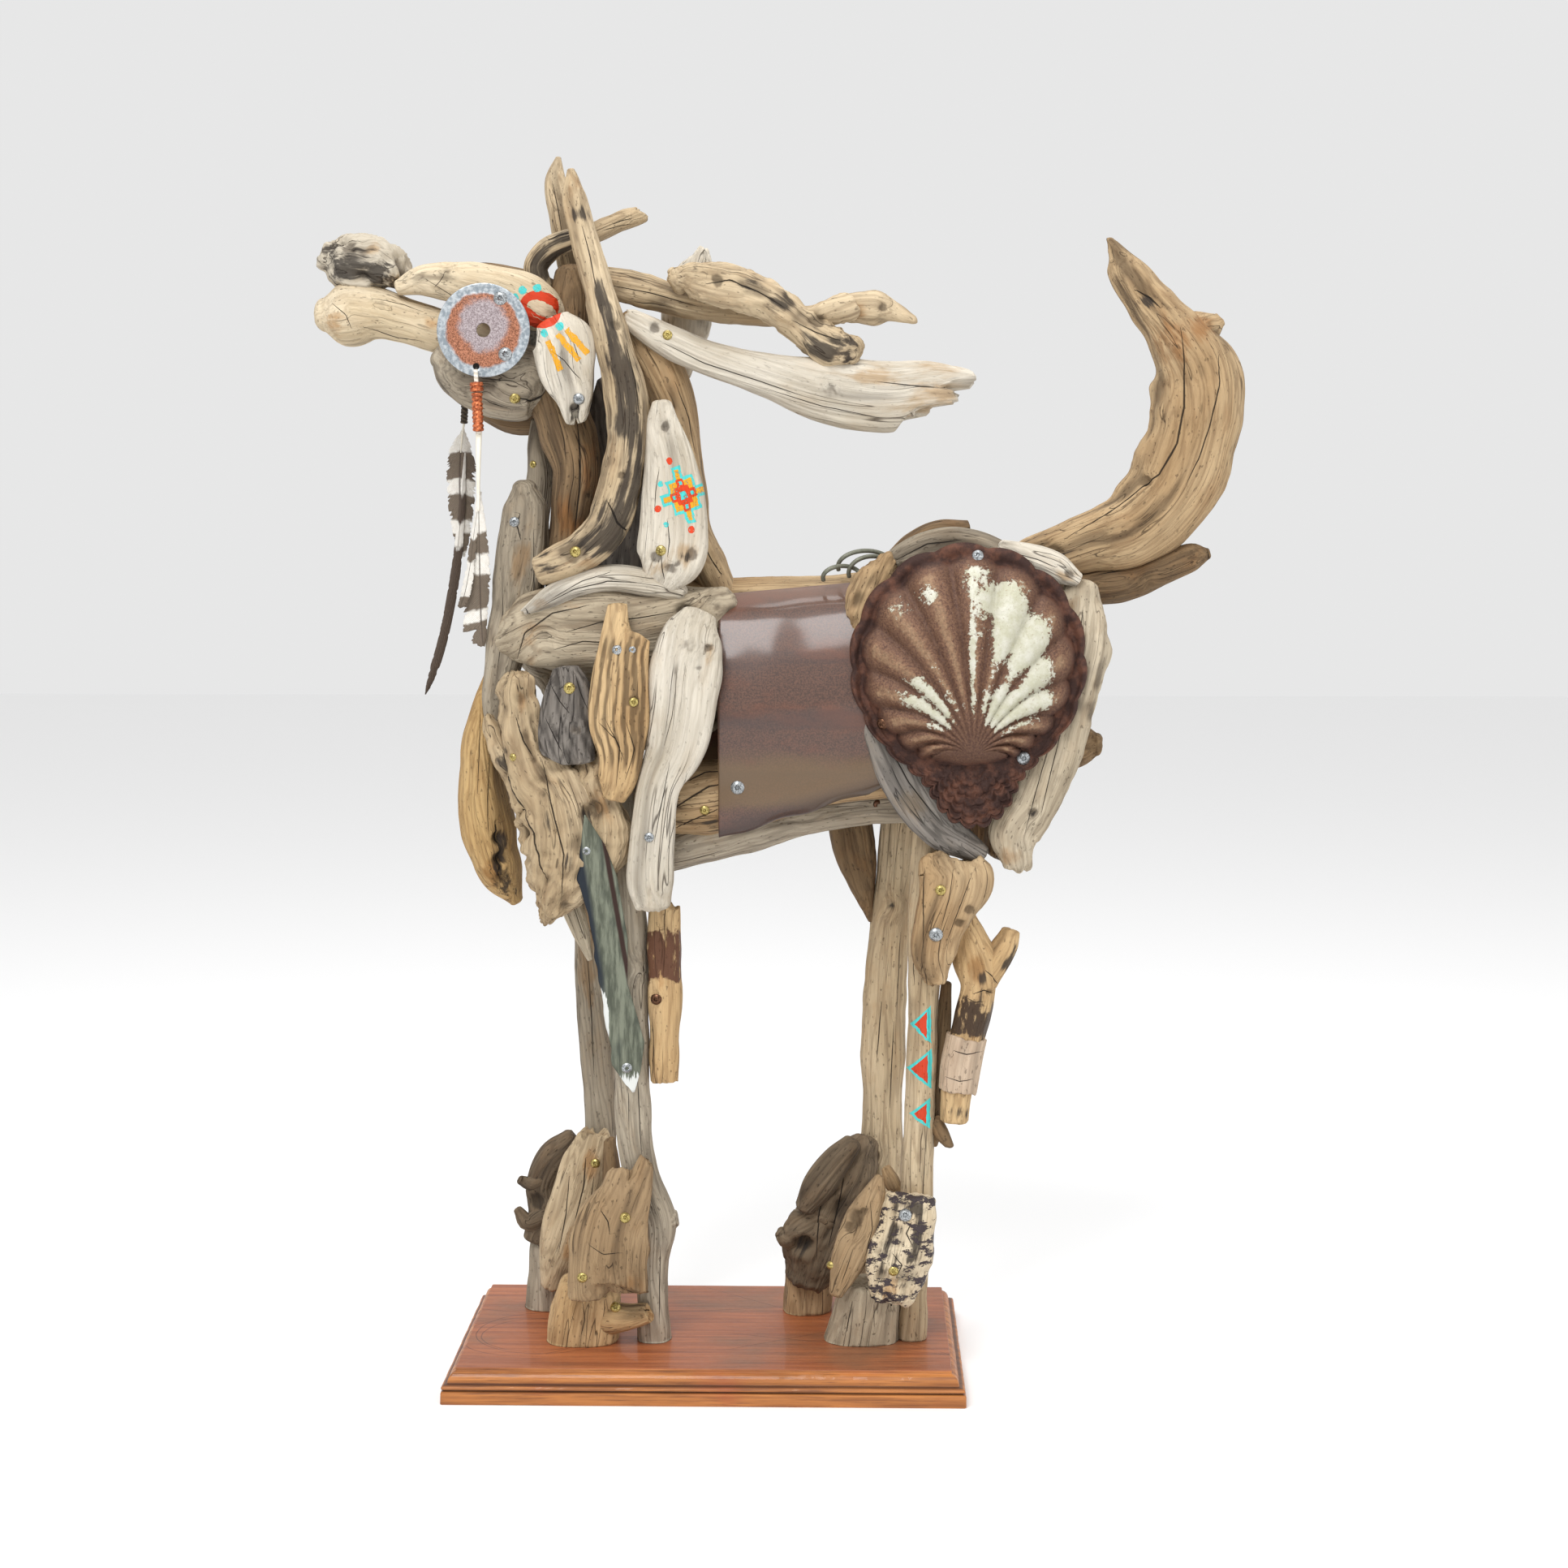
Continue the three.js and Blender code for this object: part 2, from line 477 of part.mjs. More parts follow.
  ['near_front_leg', greyWood, branch([
    [-84, -56, 640, 34, 36], [-79, -54, 546, 34, 36], [-74, -48, 429, 34, 36], [-72, -46, 310, 34, 36],
    [-70, nearFrontLegY, 226, 34, 36], [-62, nearFrontLegY, 186, 34, 36], [-50, nearFrontLegY, 148, 36, 38],
    [-54, nearFrontLegY, 105, 30, 34], [-52, nearFrontLegY, footZ, 34, 36],
  ], [
    [-50, nearFrontLegY, 148, 26, 28], [-36, nearFrontLegY, 150, 23, 26], [-30, nearFrontLegY, 151, 14, 16]])],
  ['far_front_leg', paleTan, branch([
    [-125, 50, 640, 33, 34], [-120, 52, 436, 33, 34], [-116, 54, 346, 33, 33], [-112, 56, 220, 32, 32],
    [-110, 57, 124, 32, 32], [-109, farLegY, footZ, 32, 32]])],

  // Hooves
  ['near_front_hoof_plate', brownWood, plank([
    [-64, -68, 208, 20, 14], [-78, -74, 181, 50, 20], [-87, -82, 144, 72, 22], [-91, -88, 110, 76, 22],
    [-95, -91, 82, 57, 16]])],
  ['near_front_hoof', paleTan, branch([
    [-113, -54, 84, 56, 46], [-118, -50, 58, 67, 54], [-122, -48, footZ, 66, 57],
  ], [
    [-105, -68, 70, 28, 26], [-80, -73, 66, 24, 22], [-54, -73, 66, 18, 16]])],
  ['far_front_hoof_plank', warmTan, plank([
    [-118, 24, 212, 24, 18], [-125, 24, 179, 47, 28], [-136, 24, 138, 54, 30], [-149, 25, 96, 46, 28],
    [-158, 26, 58, 20, 18]])],
  ['far_front_hoof', greyWood, branch([
    [-158, 62, 94, 48, 44], [-161, 64, 60, 53, 50], [-164, 65, footZ, 52, 52]])],
  ['birch_bark_chunk', whiteWood, branch([
    [195, -66, 181, 48, 28], [188, -68, 152, 58, 34], [182, -70, 121, 58, 34], [175, -74, 92, 48, 30],
    [171, -78, 78, 30, 20]])],
  ['near_hind_hoof', greyWood, branch([
    [156, -40, 84, 56, 50], [152, -38, 55, 67, 58], [148, -37, footZ, 71, 60]])],
  ['far_hind_hoof_root', brownWood, branch([
    [142, 36, 204, 28, 34], [131, 32, 175, 51, 48], [116, 30, 138, 68, 52], [103, 30, 101, 67, 50],
    [95, 34, 68, 38, 40]])],
  ['far_hind_hoof', paleTan, branch([
    [98, 57, 85, 50, 48], [96, 57, 54, 51, 52], [94, 58, footZ, 51, 54]])],
];

const biggestPart = (solid) => solid.decompose().reduce((a, b) => (a.volume() > b.volume() ? a : b));

function overlap(a, b) {
  return [0, 1, 2].every((axis) => a.min[axis] < b.max[axis] && b.min[axis] < a.max[axis]);
}

const horse = new THREE.Group();
const cutters = [];
for (const [name, finish, shape] of pieces) {
  let solid = shape(0);
  for (const cutter of cutters) {
    if (overlap(cutter.boundingBox(), solid.boundingBox())) solid = solid.subtract(cutter);
  }
  cutters.push(shape(fitGap));
  const { vertProperties, triVerts } = biggestPart(solid).getMesh();
  const geometry = new THREE.BufferGeometry();
  geometry.setAttribute('position', new THREE.BufferAttribute(vertProperties, 3));
  geometry.setIndex(new THREE.BufferAttribute(triVerts, 1));
  const mesh = new THREE.Mesh(geometry, new THREE.MeshStandardMaterial(finish));
  mesh.name = name;
  horse.add(mesh);
}

export default horse;
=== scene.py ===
from math import cos, pi, radians, sin

import bpy
import numpy as np
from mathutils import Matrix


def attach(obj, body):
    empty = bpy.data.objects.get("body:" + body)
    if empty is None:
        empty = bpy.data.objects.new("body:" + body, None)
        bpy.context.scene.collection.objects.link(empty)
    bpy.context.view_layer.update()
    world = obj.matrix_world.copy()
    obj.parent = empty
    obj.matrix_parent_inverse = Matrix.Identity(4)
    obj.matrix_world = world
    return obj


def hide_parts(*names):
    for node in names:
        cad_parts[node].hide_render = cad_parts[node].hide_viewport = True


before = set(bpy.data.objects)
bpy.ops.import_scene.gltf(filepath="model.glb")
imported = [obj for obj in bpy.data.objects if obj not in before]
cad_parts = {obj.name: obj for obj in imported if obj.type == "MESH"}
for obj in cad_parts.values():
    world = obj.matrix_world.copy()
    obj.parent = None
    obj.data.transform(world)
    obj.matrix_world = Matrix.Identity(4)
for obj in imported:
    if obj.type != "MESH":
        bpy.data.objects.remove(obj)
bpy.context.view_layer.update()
mm = 0.001
plinthTop = 32
footZ = 26
nearFrontLegY = -43
nearHindLegY = -36
farLegY = 58
print("frame loaded:", len(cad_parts), "nodes")


# Camera: a long lens at the height of the barrel, looking a little down
cameraSetup = {"place": (0.130, -2.638, 0.843), "tiltDegrees": 84.02, "turnDegrees": 1.25, "lens": 63.35}
cameraData = bpy.data.cameras.new("camera")
cameraData.lens = cameraSetup["lens"]
cameraData.sensor_width = 36
camera = bpy.data.objects.new("camera", cameraData)
camera.location = cameraSetup["place"]
camera.rotation_euler = (radians(cameraSetup["tiltDegrees"]), 0, radians(cameraSetup["turnDegrees"]))
bpy.context.scene.collection.objects.link(camera)
bpy.context.scene.camera = camera


# Shader maths: a Value wraps one socket, and each operator adds the Math node that works it out
class Value:
    def __init__(self, finish, socket):
        self.finish = finish
        self.socket = socket

    def combine(self, operation, *inputs):
        node = self.finish.add("ShaderNodeMath", {"operation": operation}, dict(enumerate(inputs)))
        return Value(self.finish, node.outputs[0])

    def __add__(self, other):
        return self.combine("ADD", self, other)

    def __sub__(self, other):
        return self.combine("SUBTRACT", self, other)

    def __mul__(self, other):
        return self.combine("MULTIPLY", self, other)

    def __truediv__(self, other):
        return self.combine("DIVIDE", self, other)

    def __rsub__(self, other):
        return self.combine("SUBTRACT", other, self)

    def __lt__(self, other):
        return self.combine("LESS_THAN", self, other)

    __radd__ = __add__
    __rmul__ = __mul__

    def size(self):
        return self.combine("ABSOLUTE", self)

    def wave(self):
        return self.combine("SINE", self)

    def root(self):
        return self.combine("SQRT", self)

    def most(self, other):
        return self.combine("MAXIMUM", self, other)

    def whole(self):
        return self.combine("FLOOR", self)

    # Smooth step from 0 at low to 1 at high
    def rise(self, low, high):
        settings = {"interpolation_type": "SMOOTHSTEP"}
        node = self.finish.add("ShaderNodeMapRange", settings, {0: self, 1: low, 2: high, 3: 0.0, 4: 1.0})
        return Value(self.finish, node.outputs[0])


# A colour as it is seen, 0 to 255, made linear for the shader
def tone(red, green, blue):
    seen = np.array([red, green, blue]) / 255
    linear = np.where(seen < 0.04, seen / 12.92, ((seen + 0.055) / 1.055) ** 2.4)
    return (*linear.tolist(), 1)


# One material and its nodes
class Finish:
    def __init__(self, name):
        self.material = bpy.data.materials.new(name)
        self.material.use_nodes = True
        self.tree = self.material.node_tree
        self.tree.nodes.clear()

    def add(self, kind, settings=None, inputs=None):
        node = self.tree.nodes.new(kind)
        for key, value in (settings or {}).items():
            setattr(node, key, value)
        for key, value in (inputs or {}).items():
            socket = node.inputs[key]
            if isinstance(value, Value):
                self.tree.links.new(value.socket, socket)
            else:
                socket.default_value = value
        return node

    # The same number everywhere, for a mask to be built up from
    def number(self, value):
        number = Value(self, self.add("ShaderNodeValue").outputs[0])
        number.socket.default_value = value
        return number

    def attribute(self, name):
        node = self.add("ShaderNodeAttribute", {"attribute_name": name})
        return Value(self, node.outputs["Vector"])

    def parts(self, vector):
        node = self.add("ShaderNodeSeparateXYZ", None, {0: vector})
        return [Value(self, socket) for socket in node.outputs]

    def place(self):
        node = self.add("ShaderNodeTexCoord")
        return Value(self, node.outputs["Object"])

    def stretch(self, vector, factors):
        node = self.add("ShaderNodeVectorMath", {"operation": "MULTIPLY"}, {0: vector, 1: factors})
        return Value(self, node.outputs[0])

    # Noise from 0 to 1; scale may be one number or one for each direction
    def noise(self, vector, scale, detail=2.0, rough=0.5):
        if isinstance(scale, tuple):
            vector = self.stretch(vector, scale)
            scale = 1.0
        inputs = {"Vector": vector, "Scale": scale, "Detail": detail, "Roughness": rough}
        return Value(self, self.add("ShaderNodeTexNoise", None, inputs).outputs["Fac"])

    # From the first colour to the second; a plain colour is given as it is seen, 0 to 255
    def blend(self, share, first, second):
        ends = [colour if isinstance(colour, Value) else tone(*colour) for colour in (first, second)]
        node = self.add("ShaderNodeMix", {"data_type": "RGBA"}, {0: share, 6: ends[0], 7: ends[1]})
        return Value(self, node.outputs[2])

    # Lays coats over a colour in turn, each a mask and the colour that it lets through
    def coat(self, colour, *coats):
        for mask, over in coats:
            colour = self.blend(mask, colour, over)
        return colour

    # Multiplies a colour by a grey value
    def shade(self, colour, grey):
        if not isinstance(colour, Value):
            colour = tone(*colour)[:3]
        node = self.add("ShaderNodeVectorMath", {"operation": "SCALE"}, {0: colour, "Scale": grey})
        return Value(self, node.outputs[0])

    def bump(self, height, distance, strength=1.0):
        inputs = {"Height": height, "Distance": distance, "Strength": strength}
        return Value(self, self.add("ShaderNodeBump", None, inputs).outputs[0])

    def surface(self, inputs):
        shader = self.add("ShaderNodeBsdfPrincipled", None, inputs)
        output = self.add("ShaderNodeOutputMaterial")
        self.tree.links.new(shader.outputs[0], output.inputs["Surface"])
        return self.material


# Repeatable noise from -1 to 1: random values on a lattice, blended with a smooth fade
def latticeNoise(points, seed):
    cell = np.floor(points).astype(np.int64)
    part = points - cell
    fade = part * part * (3 - 2 * part)
    total = np.zeros(points.shape[:-1])
    for corner in range(8):
        step = np.array([corner & 1, corner >> 1 & 1, corner >> 2 & 1])
        mixed = (cell + step) @ np.array([73856093, 19349663, 83492791]) + seed * 7919
        mixed = (mixed ^ (mixed >> 13)) * 1274126177
        mixed = (mixed ^ (mixed >> 16)) & 0xffff
        weight = np.where(step == 1, fade, 1 - fade).prod(axis=-1)
        total += weight * (mixed / 32767.5 - 1)
    return total


# Several noises added, each twice as fine and half as strong as the one before
def layeredNoise(points, stretch, seed, layers):
    total = np.zeros(points.shape[:-1])
    for layer in range(layers):
        finer = points * np.array(stretch) * 2 ** layer + 17.3 * layer
        total += latticeNoise(finer, seed + layer) * 0.5 ** layer
    return total


# A number of its own for each name, so that no two pieces weather alike
def seedOf(name):
    return sum((place + 3) * ord(letter) for place, letter in enumerate(name)) % 9973


# Smooth line through points: each stretch is a cubic whose slopes come from its neighbours.
# The knots lie apart by the distance between the points to a power: 0.5 never loops, 0 is even.
def smoothLine(points, shares, power):
    points = np.asarray(points, float)
    whole = np.vstack([2 * points[0] - points[1], points, 2 * points[-1] - points[-2]])
    place = np.asarray(shares) * (len(points) - 1)
    index = np.minimum(place.astype(int), len(points) - 2)
    f = (place - index)[:, None]
    before, start, end, after = (whole[index + k] for k in range(4))

    def gap(a, b):
        return np.maximum(np.linalg.norm(a - b, axis=1, keepdims=True), 1e-9) ** power

    first, middle, last = gap(before, start), gap(start, end), gap(end, after)
    run = (end - start) / middle
    slopeIn = ((start - before) / first - (end - before) / (first + middle) + run) * middle
    slopeOut = (run - (after - start) / (middle + last) + (after - end) / last) * middle
    square = 3 * (end - start) - 2 * slopeIn - slopeOut
    cube = 2 * (start - end) + slopeIn + slopeOut
    return start + slopeIn * f + square * f ** 2 + cube * f ** 3


# Vectors made one long
def unit(vectors):
    return vectors / np.maximum(np.linalg.norm(vectors, axis=-1, keepdims=True), 1e-12)


# Faces of a closed tube of rings: quads between rings and a fan of triangles round each pole
def tubeFaces(rings, columns):
    ring, around = np.meshgrid(np.arange(rings - 1), np.arange(columns), indexing="ij")
    here = (ring * columns + around).ravel()
    beside = (ring * columns + (around + 1) % columns).ravel()
    quads = np.stack([here, beside, beside + columns, here + columns], 1)
    spoke = np.arange(columns)
    after = (spoke + 1) % columns
    pole = np.full(columns, rings * columns)
    last = (rings - 1) * columns
    return quads.tolist() + np.stack([pole, after, spoke], 1).tolist() + np.stack(
        [pole + 1, last + spoke, last + after], 1).tolist()


# Points of a closed tube: the rings, then the middle of the first and of the last ring as poles
def withPoles(rings):
    flat = rings.reshape(-1, rings.shape[-1])
    return np.vstack([flat, rings[0].mean(axis=0), rings[-1].mean(axis=0)])


# Faces and points of a thin slab: a grid, its copy behind, and strips that close the four edges
def slab(front, back):
    rows, columns = front.shape[:2]
    row, column = np.meshgrid(np.arange(rows - 1), np.arange(columns - 1), indexing="ij")
    a = (row * columns + column).ravel()
    layer = rows * columns
    front4 = np.stack([a, a + 1, a + 1 + columns, a + columns], 1)
    grid = np.arange(layer).reshape(rows, columns)
    border = np.concatenate([grid[0, :-1], grid[:-1, -1], grid[-1, :0:-1], grid[:0:-1, 0]])
    ahead = np.roll(border, -1)
    strip = np.stack([ahead, border, border + layer, ahead + layer], 1)
    faces = np.vstack([front4, front4[:, ::-1] + layer, strip]).tolist()
    return np.vstack([front.reshape(-1, 3), back.reshape(-1, 3)]), faces


surfaces = {}


# Makes the object of one piece. Its place is in its mesh, and it rides on the root body.
def makePiece(name, points, faces, material, stands=(), attributes=None, smooth=True):
    mesh = bpy.data.meshes.new(name)
    mesh.from_pydata(points.tolist(), [], faces)
    for key, values in (attributes or {}).items():
        layer = mesh.attributes.new(key, "FLOAT_VECTOR", "POINT")
        layer.data.foreach_set("vector", values.astype(np.float32).ravel())
    mesh.materials.append(material)
    if smooth:
        mesh.shade_smooth()
    piece = bpy.data.objects.new(name, mesh)
    bpy.context.scene.collection.objects.link(piece)
    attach(piece, "root")
    if stands:
        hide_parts(*stands)
    surfaces[name] = points
    return piece


# Round tube along a smooth line. radius may be one number or one for each ring.
def tube(line, radius, columns=14, rings=40):
    centres = smoothLine(line, np.linspace(0, 1, rings), 0.5)
    along = unit(np.gradient(centres, axis=0))
    helper = np.array([0.31, 0.95, 0.05])
    side = unit(np.cross(along, helper))
    up = np.cross(along, side)
    angle = np.linspace(0, 2 * pi, columns, endpoint=False)
    radius = np.broadcast_to(radius, (rings,))
    spread = side[:, None] * np.cos(angle)[None, :, None] + up[:, None] * np.sin(angle)[None, :, None]
    rings3 = centres[:, None] + spread * radius[:, None, None]
    return withPoles(rings3), tubeFaces(rings, columns), centres


# Thongs: white leather with a copper binding on the near side, dark twisted leather on the far side
def thongFinish(name, light, dark, twist):
    finish = Finish(name)
    place = finish.place()
    x, _, z = finish.parts(place)
    strand = ((z * 1500 + x * twist).wave() * 0.5 + 0.5).rise(0.2, 0.8)
    fleck = finish.noise(place, 700.0, 3.0)
    colour = finish.blend(strand * 0.6 + fleck * 0.4, dark, light)
    return finish.surface({
        "Base Color": colour, "Roughness": 0.8, "Normal": finish.bump(strand + fleck * 0.4, 0.0005)})


nearThong = {
    "route": [[-0.210, -0.0775, 0.958], [-0.209, -0.078, 0.938], [-0.208, -0.078, 0.918],
              [-0.208, -0.078, 0.898]],
    "length": 0.060,
    "diameter": 0.004,
}
farThong = {
    "route": [[-0.236, 0.0665, 0.960], [-0.238, 0.066, 0.944], [-0.240, 0.066, 0.928],
              [-0.241, 0.066, 0.912]],
    "length": 0.048,
    "diameter": 0.004,
}


# Copper wire wound round the thong: a tube whose radius swells at each turn
def binding(name, line, radius, turns, material):
    rings = turns * 10
    share = np.linspace(0, 1, rings)
    swell = np.abs(np.sin(share * turns * pi)) ** 0.6
    ends = np.minimum(1, np.minimum(share, 1 - share) * 30 + 0.5)
    radii = radius * (0.78 + 0.22 * swell + 0.05 * np.sin(share * 23)) * ends
    points, faces, _ = tube(line, radii, 20, rings)
    return makePiece(name, points, faces, material)


# Copper between a dark brown and a bright orange, by a fine noise
def copperFinish():
    finish = Finish("copper_wire")
    place = finish.place()
    fleck = finish.noise(place, 420.0, 4.0)
    colour = finish.blend(fleck.rise(0.3, 0.7), (120, 52, 26), (214, 122, 76))
    return finish.surface({
        "Base Color": colour, "Metallic": 0.55, "Roughness": 0.42, "Normal": finish.bump(fleck, 0.0004)})


wraps = [
    binding("thong_binding_bead", [[-0.2095, -0.078, 0.9465], [-0.209, -0.078, 0.9375]], 0.0064, 2,
            copperFinish()),
    binding("thong_binding", [[-0.209, -0.078, 0.9372], [-0.2085, -0.078, 0.918], [-0.208, -0.078, 0.901]],
            0.0052, 9, bpy.data.materials["copper_wire"]),
    binding("far_thong_binding", [[-0.240, 0.066, 0.930], [-0.241, 0.066, 0.912]], 0.0036, 6,
            thongFinish("dark_binding", (96, 84, 70), (32, 27, 22), 900)),
]
whiteLeather = thongFinish("white_leather", (246, 242, 232), (196, 186, 168), 300)
darkLeather = thongFinish("dark_leather", (110, 96, 80), (36, 30, 25), 900)
for name, thong, finish, wound in (("near_thong", nearThong, whiteLeather, wraps[:2]),
                                   ("far_thong", farThong, darkLeather, wraps[2:])):
    points, faces, centres = tube(thong["route"], thong["diameter"] / 2)
    cord = makePiece(name + "_leather", points, faces, finish, [name])
print("thongs made")


# Wood. Every stick carries three attributes: grain, its own straightened place in metres; marks, how
# hollow (which sets painted shade), how blackened and how warm the surface is; cracks, three distances
# in crack widths.
def woodFinish(name, look, paint=None):
    finish = Finish(name)
    grain = finish.attribute("grain")
    hollow, black, warm = finish.parts(finish.attribute("marks"))
    broad = finish.noise(grain, (16, 16, 6), 3.0)
    patchy = finish.noise(grain, (60, 60, 26), 4.0, 0.6)
    streak = finish.noise(grain, (150, 150, 7), 5.0, 0.62)
    fibre = finish.noise(grain, (760, 760, 26), 3.0, 0.6)
    figure = finish.noise(grain, (20, 20, 1.9), 3.0, 0.5) * look["figure"] + fibre * 2.5
    figure = figure.wave() * 0.5 + 0.5
    split = (finish.noise(grain, (75, 75, 2.6), 2.0) - 0.5).size()
    gate = finish.noise(grain, (30, 30, 11), 2.0).rise(0.46, 0.6)
    split = (1 - split.rise(0.0, look["splitWidth"])) * gate
    speck = finish.noise(grain, (420, 420, 170), 2.0).rise(0.64, 0.72) * look["specks"]
    line = finish.number(0)
    wobble = (patchy - 0.5) * 2.4
    for gap in finish.parts(finish.attribute("cracks")):
        line = line.most(1 - (gap + wobble).size().rise(0.35, 1.0))
    colour = finish.blend(broad.rise(0.32, 0.68), look["base"], look["light"])
    stained = (warm * 0.8 + (patchy - 0.5) * 2.0 + (streak - 0.5) * 1.2).rise(0.35, 1.0)
    stained = stained * warm.rise(0.05, 0.5)
    charred = (black * 0.75 + (streak - 0.5) * 2.6 + (patchy - 0.5) * 1.5).rise(0.42, 0.86)
    charred = charred * black.rise(0.04, 0.4)
    colour = finish.coat(
        colour, (patchy.rise(0.48, 0.75) * look["patches"], look["warm"]), (stained * 0.75, look["warm"]),
        (figure.rise(0.55, 0.98) * look["rings"], look["dark"]),
        (streak.rise(0.46, 0.72) * look["streaks"], look["dark"]))
    # Hollows are darkened towards the deep colour: painted shade in the hollows; then char, specks, splits
    # and cracks
    colour = finish.coat(
        finish.shade(colour, 0.70 + fibre * 0.44), (hollow.rise(0.05, 0.9) * look["hollowShade"], look["deep"]),
        (charred * 0.88, look["char"]), (speck, look["deep"]), (split * look["splits"], look["deep"]),
        (line * 0.92, (26, 19, 13)))
    rough = 0.78 + patchy * 0.14
    height = (fibre * 0.4 + streak * 0.8 + patchy * 0.6 - figure * 0.35 - split * look["splits"] * 1.1
              - line * 1.8 - speck * 0.9)
    for mask, paintColour in (paint(finish) if paint else []):
        colour = finish.blend(mask, colour, finish.shade(paintColour, 0.78 + patchy * 0.3))
        rough = rough - mask * 0.35
        height = height + mask * 0.3
    return finish.surface({
        "Base Color": colour, "Roughness": rough, "Specular IOR Level": 0.3,
        "Normal": finish.bump(height, 0.0017, 0.9)})


plainLook = {
    "base": (180, 158, 125), "light": (208, 188, 156), "warm": (164, 124, 80), "dark": (114, 92, 68),
    "deep": (52, 38, 26), "char": (46, 41, 38), "streaks": 0.5, "patches": 0.3, "specks": 0.45,
    "rings": 0.3, "figure": 120, "splits": 0.75, "splitWidth": 0.010, "hollowShade": 0.62, "slot": "pale_wood",
}
looks = {
    "pale": plainLook,
    "cream": {**plainLook, "base": (204, 185, 152), "light": (224, 208, 180), "warm": (178, 138, 92),
              "dark": (150, 124, 90), "streaks": 0.3, "patches": 0.2, "rings": 0.2, "splits": 0.4},
    "tan": {**plainLook, "base": (168, 138, 100), "light": (194, 168, 131), "warm": (150, 106, 64),
            "dark": (104, 77, 50), "slot": "tan_wood"},
    "brown": {**plainLook, "base": (112, 90, 65), "light": (142, 117, 86), "warm": (140, 96, 54),
              "dark": (62, 46, 32), "deep": (32, 23, 16), "streaks": 0.65, "slot": "brown_wood"},
    "grey": {**plainLook, "base": (154, 142, 123), "light": (190, 178, 158), "warm": (146, 118, 85),
             "dark": (88, 78, 66), "streaks": 0.55, "slot": "grey_wood"},
    "ash": {**plainLook, "base": (170, 155, 131), "light": (200, 186, 162), "warm": (160, 128, 92),
            "dark": (104, 89, 70), "slot": "grey_wood"},
    "honey": {**plainLook, "base": (188, 155, 110), "light": (208, 178, 134), "warm": (160, 118, 72),
              "dark": (116, 84, 52), "streaks": 0.4, "slot": "yellow_wood"},
    "umber": {**plainLook, "base": (98, 83, 66), "light": (126, 109, 88), "warm": (118, 88, 58),
              "dark": (54, 44, 35), "deep": (28, 21, 15), "streaks": 0.65, "slot": "brown_wood"},
    "hoof": {**plainLook, "base": (150, 124, 92), "light": (172, 146, 112), "warm": (140, 104, 66),
             "dark": (96, 74, 52), "streaks": 0.4, "slot": "brown_wood"},
    "bark": {**plainLook, "base": (182, 156, 130), "light": (204, 182, 158), "warm": (160, 122, 92),
             "dark": (126, 96, 74), "streaks": 0.3, "rings": 0.1, "slot": "birch_bark"},
    "slate": {**plainLook, "base": (112, 105, 98), "light": (142, 135, 127), "warm": (140, 122, 100),
              "dark": (62, 57, 53), "deep": (34, 29, 25), "streaks": 0.6, "rings": 0.5,
              "slot": "dark_wood"},
    "white": {**plainLook, "base": (194, 184, 166), "light": (217, 209, 194), "warm": (180, 150, 112),
              "dark": (142, 127, 104), "streaks": 0.36, "patches": 0.2, "rings": 0.16, "specks": 0.2,
              "slot": "white_wood"},
    "yellow": {**plainLook, "base": (180, 145, 94), "light": (198, 166, 116), "warm": (152, 108, 58),
               "dark": (124, 90, 52), "streaks": 0.45, "slot": "yellow_wood"},
}
woodMaterials = {}


# Relief of the wood, in millimetres: broad lumps, knobs as deep as they are wide, long furrows, fibres
plainRelief = (2.2, 0, 1.1, 0.5)


# Signed distance in the X-Z plane from points to an open line, in widths of a crack that thins to nothing
# at both ends: past the ends the distance is many times too long, so that no crack is drawn there
def crackGap(flat, width, line):
    line = np.reshape(line, (-1, 2)).astype(float)
    best = np.full(len(flat), 1e3)
    for number in range(len(line) - 1):
        start = line[number]
        run = line[number + 1] - start
        offset = flat - start
        share = np.clip(offset @ run / (run @ run), 0, 1)
        away = np.linalg.norm(offset - share[:, None] * run, axis=1)
        side = np.sign(run[0] * offset[:, 1] - run[1] * offset[:, 0])
        thin = np.maximum(np.sin(pi * (number + share) / (len(line) - 1)), 0) ** 0.6 + 0.04
        gap = away * side / (width * 0.5 * thin)
        best = np.where(np.abs(gap) < np.abs(best), gap, best)
    return np.clip(best, -60, 60)


